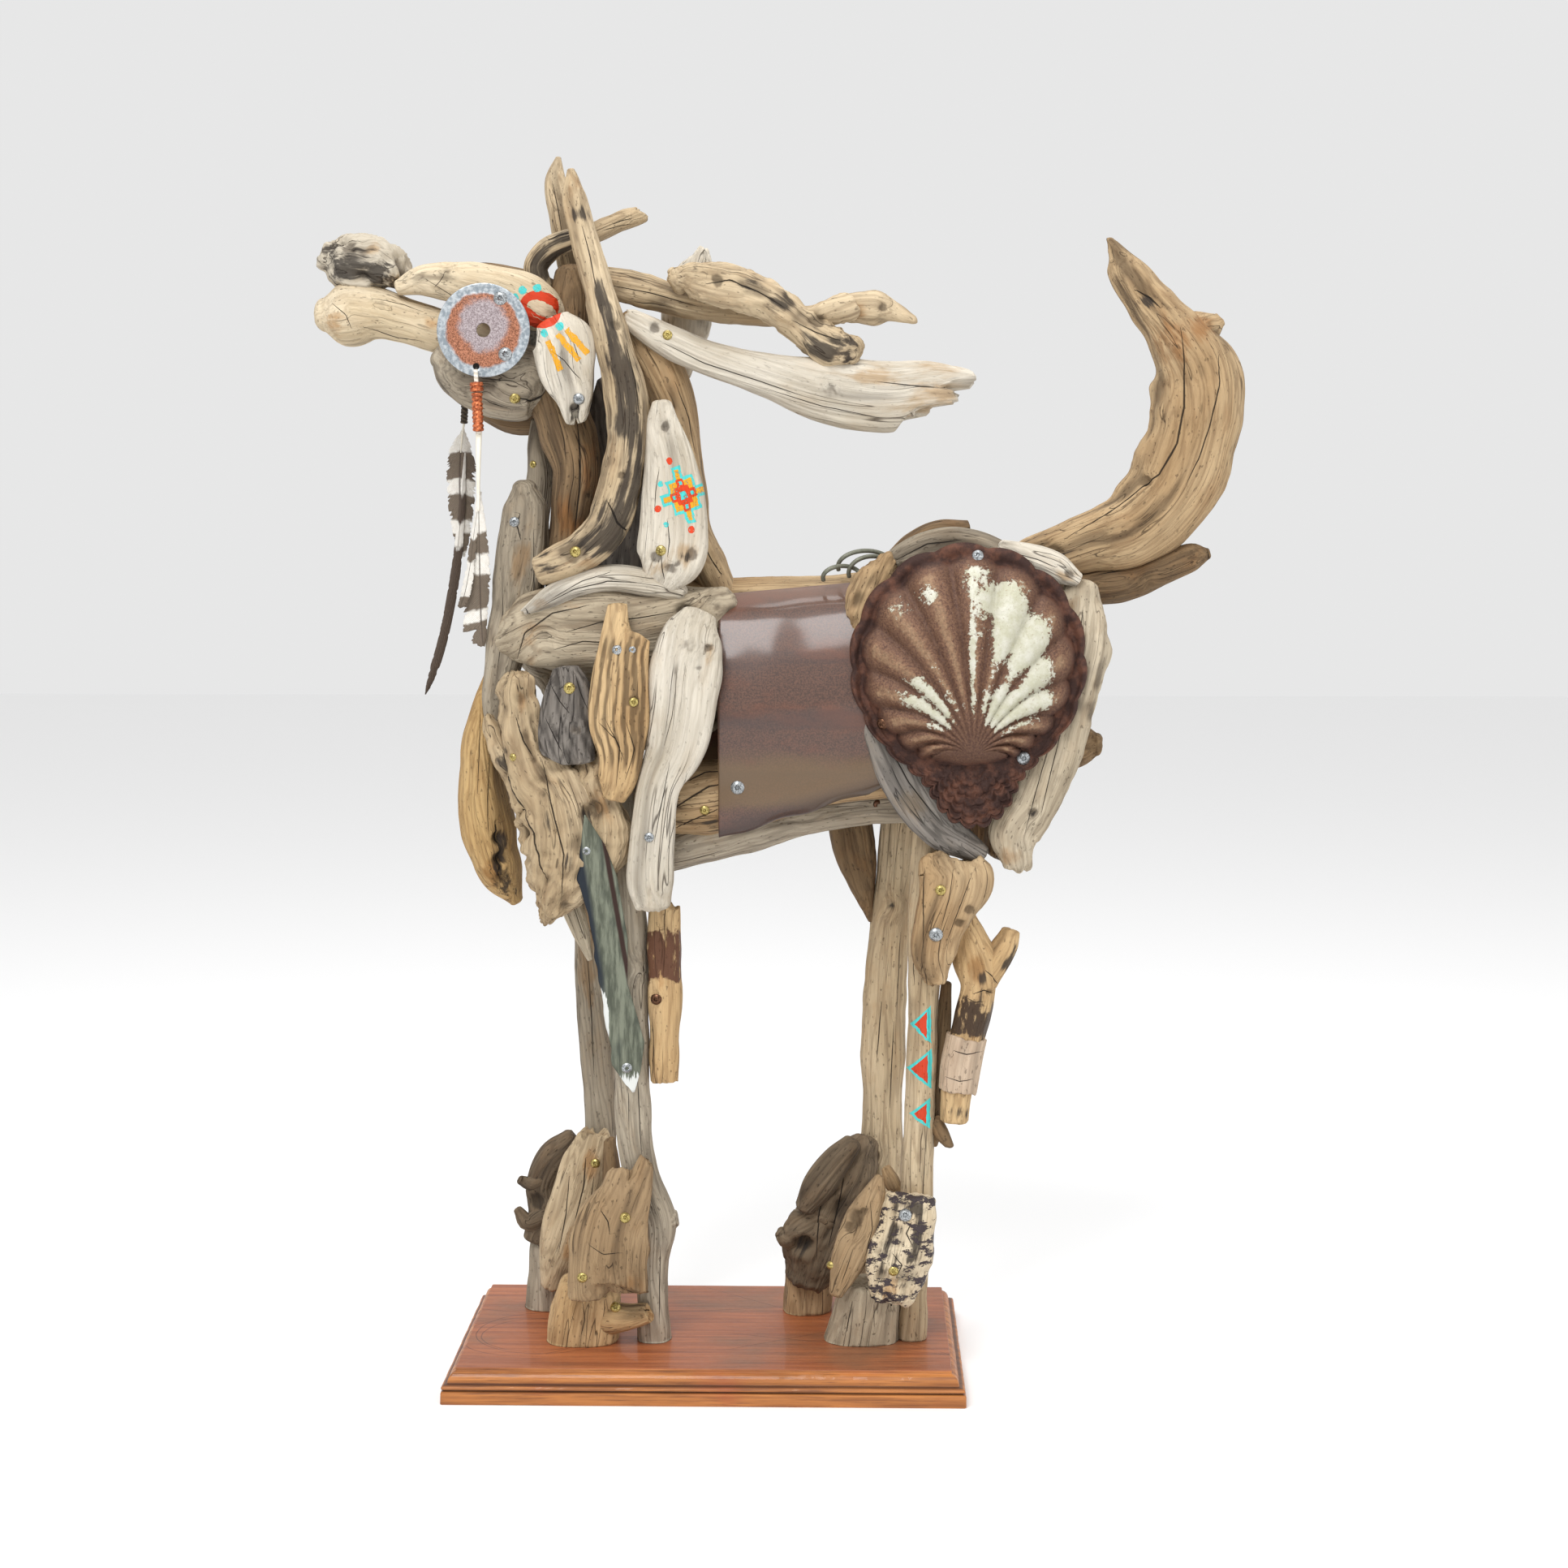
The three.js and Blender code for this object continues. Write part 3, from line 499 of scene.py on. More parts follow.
# One limb of a stick. A section |x/a|^p + |y/d|^p = 1 is carried along the smooth line through its
# stations [x, y, z, size across, size towards the viewer]; past each end it closes over a cap whose radius
# is cos(t)^square, so that 1 is a round end and 0.15 a sawn one.
def limbSurface(stations, shape, seed):
    spacing = shape.get("spacing", 2.9) * mm
    stations = np.array(stations, float) * mm
    shares = np.linspace(0, 1, 240)
    draft = smoothLine(stations[:, :3], shares, 0.5)
    walked = np.concatenate([[0], np.cumsum(np.linalg.norm(np.diff(draft, axis=0), axis=1))])
    rows = max(10, round(walked[-1] / spacing))
    lengths = np.linspace(0, walked[-1], rows)
    shares = np.interp(lengths, walked, shares)
    centres = smoothLine(stations[:, :3], shares, 0.5)
    sizes = np.maximum(smoothLine(stations[:, 3:], shares, 0), 3 * mm) / 2
    # No stick is turned true: its middle and its width wander a little along its length
    sway = np.stack([lengths * 34, lengths * 0 + seed, lengths * 0], 1)
    sizes = sizes * (1 + shape.get("sway", 1) * 0.06 * np.stack([
        layeredNoise(sway, (1, 1, 1), seed + 61, 3), layeredNoise(sway, (1, 1, 1), seed + 71, 2)], 1))
    along = unit(np.gradient(centres, axis=0))
    side = unit(np.array([0.0, 1.0, 0.0]) - along * along[:, 1:2])
    up = np.cross(side, along)

    capRings = 8
    quarter = np.linspace(0.05, 0.985, capRings) * pi / 2
    squares = shape.get("ends", (0.7, 0.7))
    bulges = [square * sizes[end].min() * 0.8 for square, end in zip(squares, (0, -1))]
    edge = np.concatenate([np.zeros(capRings, int), np.arange(rows), np.full(capRings, rows - 1)])
    past = np.concatenate([-bulges[0] * np.sin(quarter[::-1]), np.zeros(rows), bulges[1] * np.sin(quarter)])
    shrink = np.concatenate([
        np.cos(quarter[::-1]) ** squares[0], np.ones(rows), np.cos(quarter) ** squares[1]])
    centres = centres[edge] + along[edge] * past[:, None]
    lengths = lengths[edge] + past
    across = sizes[edge, 0] * shrink
    deep = sizes[edge, 1] * shrink
    columns = max(18, round(pi * (sizes[:, 0].max() + sizes[:, 1].max()) / spacing))

    angle = np.linspace(0, 2 * pi, columns, endpoint=False)
    power = shape.get("power", 2.3)
    reach = (np.abs(np.cos(angle)) ** power + np.abs(np.sin(angle)) ** power) ** (-1 / power)
    acrossShare = np.cos(angle) * reach
    u = across[:, None] * acrossShare
    v = deep[:, None] * (np.sin(angle) * reach)
    points = centres[:, None] + up[edge][:, None] * u[..., None] + side[edge][:, None] * v[..., None]
    total = np.broadcast_to(lengths[:, None], u.shape)
    twist = (seed % 7 - 3) * 0.5 * total
    turned = (u * np.cos(twist) - v * np.sin(twist), u * np.sin(twist) + v * np.cos(twist))
    straight = np.stack([*turned, total], -1)

    # Ragged ends: each end is pushed out or in by an outline over the width and by noise
    fromStart = np.clip(lengths, 0, None)
    fromEnd = np.clip(lengths[-1] - past[-1] - lengths, 0, None)
    for name, sign, distance in (("startEdge", -1, fromStart), ("endEdge", 1, fromEnd)):
        if name in shape:
            outline = np.array(shape[name], float)
            fade = np.exp(-(distance / (shape.get("edgeFade", 14) * mm)) ** 2)
            shift = np.interp(acrossShare, outline[:, 0], outline[:, 1]) * mm
            points = points + sign * along[edge][:, None] * (fade[:, None] * shift)[..., None]
    jag = shape.get("jagged", (0, 0))
    rough = layeredNoise(straight + seed, (190, 120, 2), seed, 2)
    for amount, sign, distance in ((jag[0], -1, fromStart), (jag[1], 1, fromEnd)):
        fade = np.exp(-(distance / (9 * mm)) ** 2) * amount * mm
        points = points + sign * along[edge][:, None] * (fade[:, None] * rough)[..., None]

    around = np.roll(points, -1, axis=1) - np.roll(points, 1, axis=1)
    normals = unit(np.cross(around, np.gradient(points, axis=0)))
    shareAcross = np.broadcast_to(acrossShare, u.shape)
    return points, normals, straight + seed * 0.0013, shareAcross, tubeFaces(*u.shape)


# Weathers a limb: pushes its points along their normals and works out the grain, marks and cracks
def weather(points, normals, straight, shareAcross, shape, seed):
    lumpy, knobby, furrowed, fibrous = shape.get("relief", plainRelief)
    flat = points[:, [0, 2]] / mm
    near = np.clip(-normals[:, 1] * 2.5 + 0.2, 0, 1)
    knotted = straight.copy()
    for x, z, radius in shape.get("knots", []):
        away = np.hypot(flat[:, 0] - x, flat[:, 1] - z) / radius
        knotted[:, :2] += (near * np.exp(-away ** 2) * radius * 0.5 * mm)[:, None]
        knotted[:, 2] += near * np.exp(-away ** 2) * radius * 1.5 * mm
    lumps = layeredNoise(knotted, (17, 17, 11), seed, 2) * lumpy
    knobs = (1 - 2.4 * np.abs(layeredNoise(knotted, (42, 42, 42), seed + 11, 3))) * knobby
    furrows = (0.5 - 1.5 * np.abs(layeredNoise(knotted, (62, 62, 7), seed + 23, 3))) * furrowed
    fibres = layeredNoise(knotted, (130, 130, 8), seed + 37, 2) * fibrous
    height = lumps + knobs + furrows + fibres
    depth = knobby + furrowed + fibrous + 0.3
    # How far down in the relief a point lies: the wood finish darkens it as painted shade
    hollow = np.clip(-(knobs + furrows + fibres) / depth * 1.2, -1, 1)
    black = np.zeros(len(points))
    warm = np.zeros(len(points))
    for store, key in ((black, "black"), (warm, "warm")):
        for x, z, wide, high in shape.get(key, []):
            store += near * np.exp(-((flat[:, 0] - x) / wide) ** 2 - ((flat[:, 1] - z) / high) ** 2)
    ragged = 1 + 0.3 * layeredNoise(points, (150, 150, 150), seed + 51, 2)
    for x, z, radius in shape.get("knots", []):
        away = np.hypot(flat[:, 0] - x, (flat[:, 1] - z) * 0.8) / radius * ragged
        ringed = near * np.exp(-away ** 2 * 1.6)
        height += ringed * (1.1 + 0.9 * np.sin(away * 12)) - near * 2.0 * np.exp(-(away * 3.4) ** 2)
        hollow += ringed * (0.16 - 0.3 * np.sin(away * 12)) + near * 0.7 * np.exp(-(away * 3.8) ** 2)
    for x, z, radius, push in shape.get("holes", []):
        away = np.hypot(flat[:, 0] - x, flat[:, 1] - z) / radius * ragged
        pit = near * np.exp(-away ** 4)
        height -= pit * push
        # The pit is marked hollow, for painted shade in the hole
        hollow += pit * 1.5
    if "flutes" in shape:
        # Parallel grooves across the near face, bent by tilt and waved along the length
        flutes = shape["flutes"]
        low, high = flutes["span"]
        inside = near * np.clip((flat[:, 1] - low) / 14, 0, 1) * np.clip((high - flat[:, 1]) / 10, 0, 1)
        bend = flutes["tilt"] * straight[:, 2] + flutes["wave"] * np.sin(straight[:, 2] * 95)
        groove = np.clip(np.sin((shareAcross * flutes["count"] + bend) * pi), 0, 1) ** 0.7
        height -= inside * groove * flutes["depth"]
        # The grooves are marked hollow too, for painted shade in them
        hollow += inside * groove * flutes["dark"]
    cracks = np.full((len(points), 3), 60.0)
    for number, (width, *line) in enumerate(shape.get("cracks", [])):
        gap = crackGap(flat, width, line)
        gap = np.where(near > 0.05, gap, 60)
        cracks[:, number] = gap
        height -= np.exp(-(gap / 2.2) ** 2) * width * 0.8
    moved = points + normals * (height * mm)[:, None]
    return moved, knotted, np.stack([hollow, black, warm], 1), cracks


# Makes one weathered stick or plank out of one or more limbs. In its dictionary, on the near face:
# knots are [x, z, radius], holes [x, z, radius, depth], black and warm stains [x, z, half width, half
# height], and each of at most three cracks is [width, x, z, x, z, ...]. ends are the squares of the caps.
# startEdge and endEdge are outlines [place across from -1 to 1, how far out], jagged how ragged each end
# is, and pressed [x, z, radius, y] flattens the stick behind y. A stick that stands keeps to the plinth.
def driftwood(name, lookName, shape, paint=None):
    seed = seedOf(name)
    gathered = []
    faces = []
    start = 0
    for number, stations in enumerate([shape["stations"], *shape.get("limbs", [])]):
        rings, normals, straight, shareAcross, limbFaces = limbSurface(stations, shape, seed + 5 * number)
        poles = [withPoles(part) for part in (rings, normals, straight)]
        shares = withPoles(shareAcross[..., None])[:, 0]
        gathered.append(weather(*poles, shares, shape, seed + 5 * number))
        faces += [[start + corner for corner in face] for face in limbFaces]
        start += len(poles[0])
    points, grain, marks, cracks = (np.vstack(part) for part in zip(*gathered))
    if shape.get("stands"):
        points[:, 2] = np.maximum(points[:, 2], (plinthTop + 0.3) * mm)
    for x, z, radius, y in shape.get("pressed", []):
        away = np.hypot(points[:, 0] / mm - x, points[:, 2] / mm - z) / radius
        points[:, 1] = np.where(away < 1, np.maximum(points[:, 1], y * mm), points[:, 1])
    if paint or lookName not in woodMaterials:
        material = woodFinish(name if paint else lookName + "_wood", looks[lookName], paint)
    else:
        material = woodMaterials[lookName]
    if not paint:
        woodMaterials[lookName] = material
    node = [name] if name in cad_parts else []
    attributes = {"grain": grain, "marks": marks, "cracks": cracks}
    return makePiece(name + "_wood", points, faces, material, node, attributes)


# Painted marks, in millimetres of the X-Z plane, with a little wander in every edge
class PaintPlace:
    def __init__(self, finish):
        x, y, z = finish.parts(finish.place())
        wander = (finish.noise(finish.place(), 160.0, 3.0) - 0.5) * 3.2
        self.x = x * 1000 + wander
        self.y = y * 1000
        self.z = z * 1000 + wander
        self.worn = finish.noise(finish.place(), 520.0, 3.0).rise(0.3, 0.42)

    def dot(self, x, z, radius):
        across = (self.x - x) / radius
        high = (self.z - z) / radius
        return (across * across + high * high < 1) * self.worn

    def stroke(self, start, end, width):
        run = np.array(end, float) - start
        length = np.linalg.norm(run)
        run /= length
        middle = (np.array(end) + start) / 2
        along = (self.x - middle[0]) * run[0] + (self.z - middle[1]) * run[1]
        beside = (self.z - middle[1]) * run[0] - (self.x - middle[0]) * run[1]
        return (along.size() < length / 2) * (beside.size() < width / 2) * self.worn

    # Triangle with its point on the left and its long side upright on the right
    def triangle(self, left, right, low, high):
        share = (self.x - left) / (right - left)
        return (share < 1) * ((self.z - (low + high) / 2).size() < share * (high - low) / 2)


turquoise = (76, 200, 196)
redOrange = (203, 60, 24)
ochre = (224, 160, 36)
eyePaint = {"centre": (-151, 1013), "outer": (20.5, 17), "inner": (14, 8), "turn": radians(-24)}


# Ring round the eye, its dots, and three strokes below it
def paintEye(finish):
    place = PaintPlace(finish)
    turn = eyePaint["turn"]
    dx = place.x - eyePaint["centre"][0]
    dz = place.z - eyePaint["centre"][1]
    along = dx * cos(turn) + dz * sin(turn)
    high = dz * cos(turn) - dx * sin(turn)
    rings = []
    for wide, tall in (eyePaint["outer"], eyePaint["inner"]):
        rings.append((along / wide) * (along / wide) + (high / tall) * (high / tall) < 1)
    near = place.y < -48
    lid = (high + 6 - along * along * 0.012).size() < 1.3
    marks = [(near * rings[0] * (1 - rings[1] * (1 - lid)), redOrange)]
    for x, z in ((-175, 1024), (-168, 1031), (-155, 1033), (-159, 992), (-146, 991), (-132, 997)):
        marks.append((near * place.dot(x, z, 3.8), turquoise))
    for start, end in (((-143, 984), (-131, 957)), ((-134, 990), (-114, 966)), ((-126, 994), (-106, 972))):
        marks.append((near * place.stroke(start, end, 5.5), ochre))
    return marks


diamond = {"centre": (-18, 843), "block": (8.6, 10.8), "turn": radians(17)}


# Stepped diamond: the blocks counted out from its middle across and upwards, with the count begun a
# little sooner for the inner colours so that each keeps a rim of the one outside it
def paintDiamond(finish):
    place = PaintPlace(finish)
    turn = diamond["turn"]
    dx = place.x - diamond["centre"][0]
    dz = place.z - diamond["centre"][1]
    across = (dx * cos(turn) + dz * sin(turn)) / diamond["block"][0]
    high = (dz * cos(turn) - dx * sin(turn)) / diamond["block"][1]

    def blocks(start):
        return (across.size() + start).whole() + (high.size() + start).whole()

    near = (place.y < -76) * place.worn
    window = (across.size() - 1.02).size().most(high.size()) < 0.17
    window = window.most((high.size() - 1.02).size().most(across.size()) < 0.17)
    ink = (214, 66, 28)
    marks = [(near * (blocks(0.5) < 3), turquoise), (near * (blocks(0.76) < 3), ochre),
             (near * (blocks(0.6) < 2), ink), (near * (across.size().most(high.size()) < 0.78), ink),
             (near * (across.size().most(high.size()) < 0.34), turquoise), (near * window, turquoise)]
    for x, z in ((-31, 874), (-42, 830), (-11, 811)):
        marks.append((near * place.dot(x, z, 3.2), ink))
    for x, z in ((-39, 853), (-34, 816)):
        marks.append((near * place.dot(x, z, 2.6), turquoise))
    return marks


# Dark bark left on a stretch of a stick, between two ragged heights in metres
def barkBand(low, high, colour):
    def paint(finish):
        place = finish.place()
        _, _, z = finish.parts(place)
        ragged = z + (finish.noise(place, 44.0, 4.0, 0.6) - 0.5) * 0.05
        flakes = finish.noise(place, (230, 230, 60), 4.0, 0.6).rise(0.34, 0.46)
        band = ragged.rise(low - 0.002, low + 0.002) * ragged.rise(high + 0.002, high - 0.002)
        return [(band * flakes, colour)]
    return paint


# Bark: dark flakes left on pale wood, broken up by noise
def paintBark(finish):
    place = finish.place()
    flakes = finish.noise(place, (62, 62, 120), 6.0, 0.72)
    gate = finish.noise(place, 24.0, 2.0)
    return [((flakes + (gate - 0.5) * 0.3).rise(0.515, 0.545), (66, 56, 58))]


# Three triangles down the leg, an outline and a smaller one inside it
def paintTriangles(finish):
    place = PaintPlace(finish)
    near = place.y < -46
    marks = []
    for left, right, low, high in ((193, 213, 325, 363), (190, 214, 281, 321), (193, 213, 242, 273)):
        marks.append((near * place.triangle(left, right, low, high), turquoise))
        inside = place.triangle(left + 4.4, right - 3.8, low + 6, high - 6)
        marks.append((near * inside, redOrange))
    return marks


print("head")
driftwood("muzzle", "cream", {
    "stations": [[-360, -12, 1012, 30, 36], [-342, -12, 1012, 56, 62], [-312, -12, 1013, 49, 56],
        [-284, -12, 1006, 42, 52], [-254, -12, 997, 44, 56], [-215, -12, 988, 46, 56],
        [-189, -12, 980, 38, 46]], "ends": (0.75, 0.9), "relief": (2.2, 0, 0.4, 0.5),
    "knots": [[-329, 1017, 10], [-303, 1019, 9]], "warm": [[-255, 1002, 14, 9], [-348, 1000, 12, 18]],
    "cracks": [[0.9, -350, 1022, -335, 1010, -330, 996], [0.8, -322, 1000, -290, 990, -262, 986],
        [0.7, -315, 1026, -282, 1020, -262, 1012]]})
driftwood("nose_lump", "white", {
    "stations": [[-358, -5, 1065, 26, 32], [-342, -5, 1062, 46, 56], [-319, -5, 1057, 52, 62],
        [-300, -5, 1051, 42, 52], [-286, -5, 1040, 18, 26]],
    "power": 2.1, "spacing": 2.1, "ends": (0.9, 0.9), "relief": (4.2, 4.4, 2, 0.6),
    "black": [[-350, 1066, 16, 20], [-322, 1060, 16, 15], [-300, 1048, 16, 16], [-338, 1048, 12, 8]],
    "warm": [[-292, 1042, 14, 16], [-312, 1070, 10, 8]], "holes": [[-283, 1045, 6, 4], [-334, 1072, 7, 3]]})
driftwood("forehead", "cream", {
    "stations": [[-287, -28, 1036, 16, 22], [-266, -28, 1042, 28, 36], [-235, -30, 1040, 38, 44],
        [-200, -34, 1033, 48, 54], [-171, -36, 1023, 51, 54], [-148, -34, 1014, 42, 46],
        [-134, -30, 1010, 20, 26]], "relief": (1.2, 0, 0.3, 0.25), "spacing": 2.4,
    "knots": [[-239, 1052, 8]], "cracks": [[0.8, -240, 1050, -246, 1040, -252, 1034],
        [0.7, -262, 1044, -240, 1030, -228, 1022]]}, paintEye)
driftwood("far_forehead", "brown", {
    "stations": [[-274, 22, 1042, 20, 30], [-242, 22, 1048, 25, 40], [-204, 22, 1047, 32, 44],
        [-165, 22, 1035, 39, 44], [-134, 22, 1022, 31, 36]], "spacing": 4.3})
driftwood("jaw", "grey", {
    "stations": [[-247, -25, 974, 26, 36], [-234, -25, 964, 48, 60], [-210, -27, 955, 66, 74],
        [-182, -27, 950, 70, 76], [-159, -25, 947, 60, 66], [-144, -25, 941, 34, 44]],
    "spacing": 2.4, "relief": (2.4, 0, 0.8, 0.4), "knots": [[-160, 955, 12], [-201, 944, 16]],
    "cracks": [[2.4, -173, 931, -161, 929, -150, 934, -147, 941],
        [0.9, -226, 962, -205, 950, -178, 948, -158, 938], [0.9, -214, 936, -196, 926, -180, 921]]})
driftwood("far_jaw", "brown", {
    "stations": [[-236, 30, 985, 30, 36], [-216, 33, 960, 66, 57], [-188, 33, 942, 82, 60],
        [-160, 32, 942, 76, 56], [-132, 28, 958, 42, 36]], "spacing": 3.9})
driftwood("cheek_plate", "white", {
    "stations": [[-139, -68, 1003, 36, 14], [-130, -69, 984, 64, 24], [-127, -69, 958, 58, 26],
        [-121, -68, 935, 42, 24], [-119, -66, 915, 28, 16]],
    "power": 3.0, "spacing": 2.2, "ends": (0.6, 0.35), "relief": (2, 0, 0.6, 0.3), "endEdge": [[-1, -4],
        [-0.6, 5], [-0.2, 4], [0, -9], [0.3, 3], [0.7, 5], [1, -6]], "holes": [[-119, 922, 4, 5]],
    "black": [[-117, 916, 5, 8]], "cracks": [[1, -140, 975, -128, 966, -119, 955, -112, 948],
        [0.8, -120, 985, -112, 962], [1, -118, 930, -119, 915]]}, paintEye)
driftwood("poll_block", "brown", {
    "stations": [[-126, -12, 1050, 34, 48], [-126, -12, 1021, 40, 62], [-128, -12, 990, 38, 62],
        [-128, -10, 960, 34, 50]], "relief": (2.5, 0, 0.5, 0.5)})
driftwood("throat_stick", "grey", {
    "stations": [[-162, 10, 912, 14, 18], [-163, 10, 889, 19, 26], [-161, 10, 862, 23, 30],
        [-166, 10, 820, 25, 30]], "spacing": 3.4})
driftwood("ear_mane_branch", "pale", {
    "stations": [[-124, -50, 1141, 9, 12], [-122, -50, 1119, 23, 26], [-114, -50, 1086, 29, 32],
        [-104, -55, 1053, 31, 36], [-94, -60, 1017, 32, 38], [-84, -65, 981, 34, 40],
        [-75, -68, 945, 39, 42], [-71, -72, 914, 38, 42], [-73, -75, 880, 37, 42], [-80, -76, 844, 39, 42],
        [-91, -77, 814, 41, 42], [-111, -77, 793, 38, 40], [-132, -76, 781, 35, 38],
        [-152, -75, 774, 28, 30]], "spacing": 2.4, "ends": (0.9, 0.6), "relief": (2.2, 0.5, 1.5, 0.5),
    "black": [[-113, 1100, 9, 8], [-94, 1030, 9, 20], [-84, 1000, 9, 22], [-76, 965, 16, 26],
        [-66, 930, 14, 26], [-72, 905, 16, 16], [-62, 846, 18, 26], [-88, 824, 18, 24], [-74, 800, 17, 20],
        [-110, 798, 27, 12], [-146, 780, 16, 9], [-58, 872, 8, 30]], "warm": [[-120, 1126, 10, 14],
        [-85, 892, 8, 16], [-110, 780, 24, 7]], "holes": [[-79, 998, 5, 4], [-74, 861, 3, 3],
        [-118, 791, 10, 2.5]], "cracks": [[1.2, -112, 1090, -104, 1060, -98, 1030],
        [1.4, -70, 985, -62, 950, -58, 915], [2.4, -88, 838, -78, 818, -66, 806]]})
driftwood("far_ear", "pale", {
    "stations": [[-143, 30, 1162, 7, 10], [-146, 30, 1141, 20, 24], [-140, 30, 1111, 28, 32],
        [-131, 27, 1074, 33, 36], [-124, 20, 1040, 34, 38]],
    "spacing": 3.2, "cracks": [[1, -148, 1140, -142, 1110, -138, 1085]]})
driftwood("forelock_branch", "pale", {
    "stations": [[-64, -12, 1104, 15, 16], [-80, -12, 1099, 20, 24], [-103, -12, 1089, 21, 26],
        [-128, -12, 1082, 21, 26], [-149, -12, 1072, 22, 27], [-161, -12, 1056, 22, 27],
        [-155, -12, 1037, 20, 24]],
    "spacing": 2.4, "relief": (2.2, 0.5, 1.2, 0.5), "jagged": (5, 0), "black": [[-152, 1062, 20, 22],
        [-128, 1082, 24, 14], [-158, 1040, 14, 18]], "cracks": [[1.6, -150, 1080, -136, 1086, -118, 1088],
        [1, -88, 1094, -78, 1098, -68, 1100], [0.8, -98, 1088, -84, 1092, -70, 1095]]})

print("mane")
driftwood("mane_gnarled_branch", "pale", {
    "stations": [[-27, -42, 1044, 14, 20], [-6, -45, 1041, 32, 38], [16, -45, 1036, 39, 42],
        [46, -42, 1029, 33, 38], [73, -38, 1014, 29, 34], [96, -36, 997, 30, 34], [118, -36, 982, 33, 36],
        [136, -36, 977, 19, 24]], "spacing": 2.3, "ends": (0.9, 0.9), "limbs": [[[92, -36, 1002, 22, 24],
        [112, -28, 1012, 22, 24], [134, -18, 1019, 22, 22]], [[-22, -42, 1038, 18, 20],
        [-27, -42, 1046, 15, 16], [-31, -42, 1050, 8, 10]]], "relief": (3.6, 2.4, 2.6, 0.6),
    "black": [[40, 1034, 14, 10], [70, 1020, 16, 9], [92, 990, 12, 12], [126, 982, 22, 14],
        [106, 976, 14, 10], [-8, 1048, 8, 8]], "holes": [[12, 1040, 5, 3], [104, 1004, 7, 4]],
    "cracks": [[1.6, 0, 1036, 24, 1040, 50, 1030, 76, 1014], [1.2, 80, 1004, 104, 992, 126, 984]]})
driftwood("far_mane_plate", "white", {
    "stations": [[-7, 25, 1072, 12, 14], [-12, 25, 1054, 32, 22], [-18, 25, 1028, 46, 26],
        [-22, 25, 997, 43, 26], [-27, 25, 965, 22, 18]],
    "spacing": 3.2, "power": 3.0, "relief": (2.5, 1.5, 3, 0.5), "jagged": (7, 7)})
driftwood("mane_plank", "white", {
    "stations": [[-70, -45, 1006, 21, 24], [-31, -45, 984, 31, 32], [2, -42, 970, 33, 34],
        [49, -38, 956, 40, 34], [111, -32, 940, 60, 32], [168, -28, 934, 67, 30], [205, -25, 938, 58, 26],
        [222, -25, 938, 52, 20]], "power": 3.0, "spacing": 2.6, "ends": (0.6, 0.3), "sway": 0.4,
    "relief": (2.2, 0, 0.6, 0.4), "jagged": (3, 9), "edgeFade": 40, "endEdge": [[-1, 2], [-0.85, 20],
        [-0.6, 25], [-0.5, 4], [-0.2, 0], [0.15, 8], [0.35, 6], [0.45, -12], [0.8, -26], [1, -36]],
    "warm": [[212, 936, 34, 40], [150, 952, 30, 10]], "holes": [[-46, 996, 4, 4]], "knots": [[118, 944, 8]],
    "cracks": [[1.2, -40, 984, 0, 964, 44, 950, 90, 935], [1, 60, 940, 110, 925, 160, 915],
        [1.2, 160, 948, 196, 944, 226, 942]]})
driftwood("mane_back_branch", "pale", {
    "stations": [[-104, -22, 1044, 24, 26], [-64, -20, 1034, 27, 28], [-38, -18, 1027, 27, 26],
        [5, -10, 1018, 24, 26], [60, -6, 1012, 22, 24], [104, -6, 1013, 20, 24], [130, -8, 1018, 26, 28],
        [158, -8, 1018, 34, 30], [176, -8, 1014, 18, 16], [193, -8, 1007, 7, 8]],
    "spacing": 2.7, "relief": (2.4, 0.7, 1.2, 0.5), "jagged": (0, 4), "holes": [[166, 1018, 4, 4]],
    "warm": [[140, 1012, 16, 8]], "cracks": [[1.1, -92, 1038, -50, 1030, -6, 1018],
        [0.9, -70, 1024, -36, 1018]]})

print("neck")
driftwood("neck_plate", "white", {
    "stations": [[-39, -70, 926, 18, 12], [-38, -72, 906, 33, 20], [-32, -74, 876, 47, 26],
        [-29, -76, 843, 58, 28], [-29, -78, 809, 64, 28], [-32, -80, 783, 62, 26], [-40, -80, 762, 34, 16]],
    "sway": 0.4, "power": 2.8, "spacing": 2.3, "ends": (0.9, 0.8), "relief": (1.2, 0, 0.5, 0.3),
    "knots": [[-35, 906, 6]], "holes": [[-35, 905, 3.5, 4], [-44, 786, 5, 3], [-30, 776, 4, 3],
        [-10, 788, 5, 3], [-24, 780, 3, 2]], "warm": [[-18, 788, 16, 12], [-40, 776, 14, 8]],
    "black": [[-14, 786, 8, 5], [-42, 782, 5, 5]], "cracks": [[1, -33, 822, -31, 800, -33, 784],
        [1.1, -39, 790, -38, 774, -36, 764], [0.8, -40, 870, -44, 845, -45, 825]]}, paintDiamond)
driftwood("chest_plank", "grey", {
    "stations": [[-170, -38, 850, 24, 28], [-169, -38, 832, 42, 38], [-173, -38, 790, 48, 42],
        [-180, -38, 744, 46, 42], [-190, -38, 698, 40, 40], [-198, -38, 652, 32, 34],
        [-202, -38, 617, 17, 20]], "power": 2.6, "spacing": 2.7, "ends": (0.8, 0.7),
    "relief": (2.2, 0, 1, 0.4), "black": [[-176, 812, 7, 9]], "warm": [[-172, 780, 14, 40]],
    "cracks": [[1.4, -172, 828, -176, 815, -172, 800], [1, -160, 812, -160, 760, -166, 712],
        [0.8, -190, 770, -190, 720, -197, 670]]})
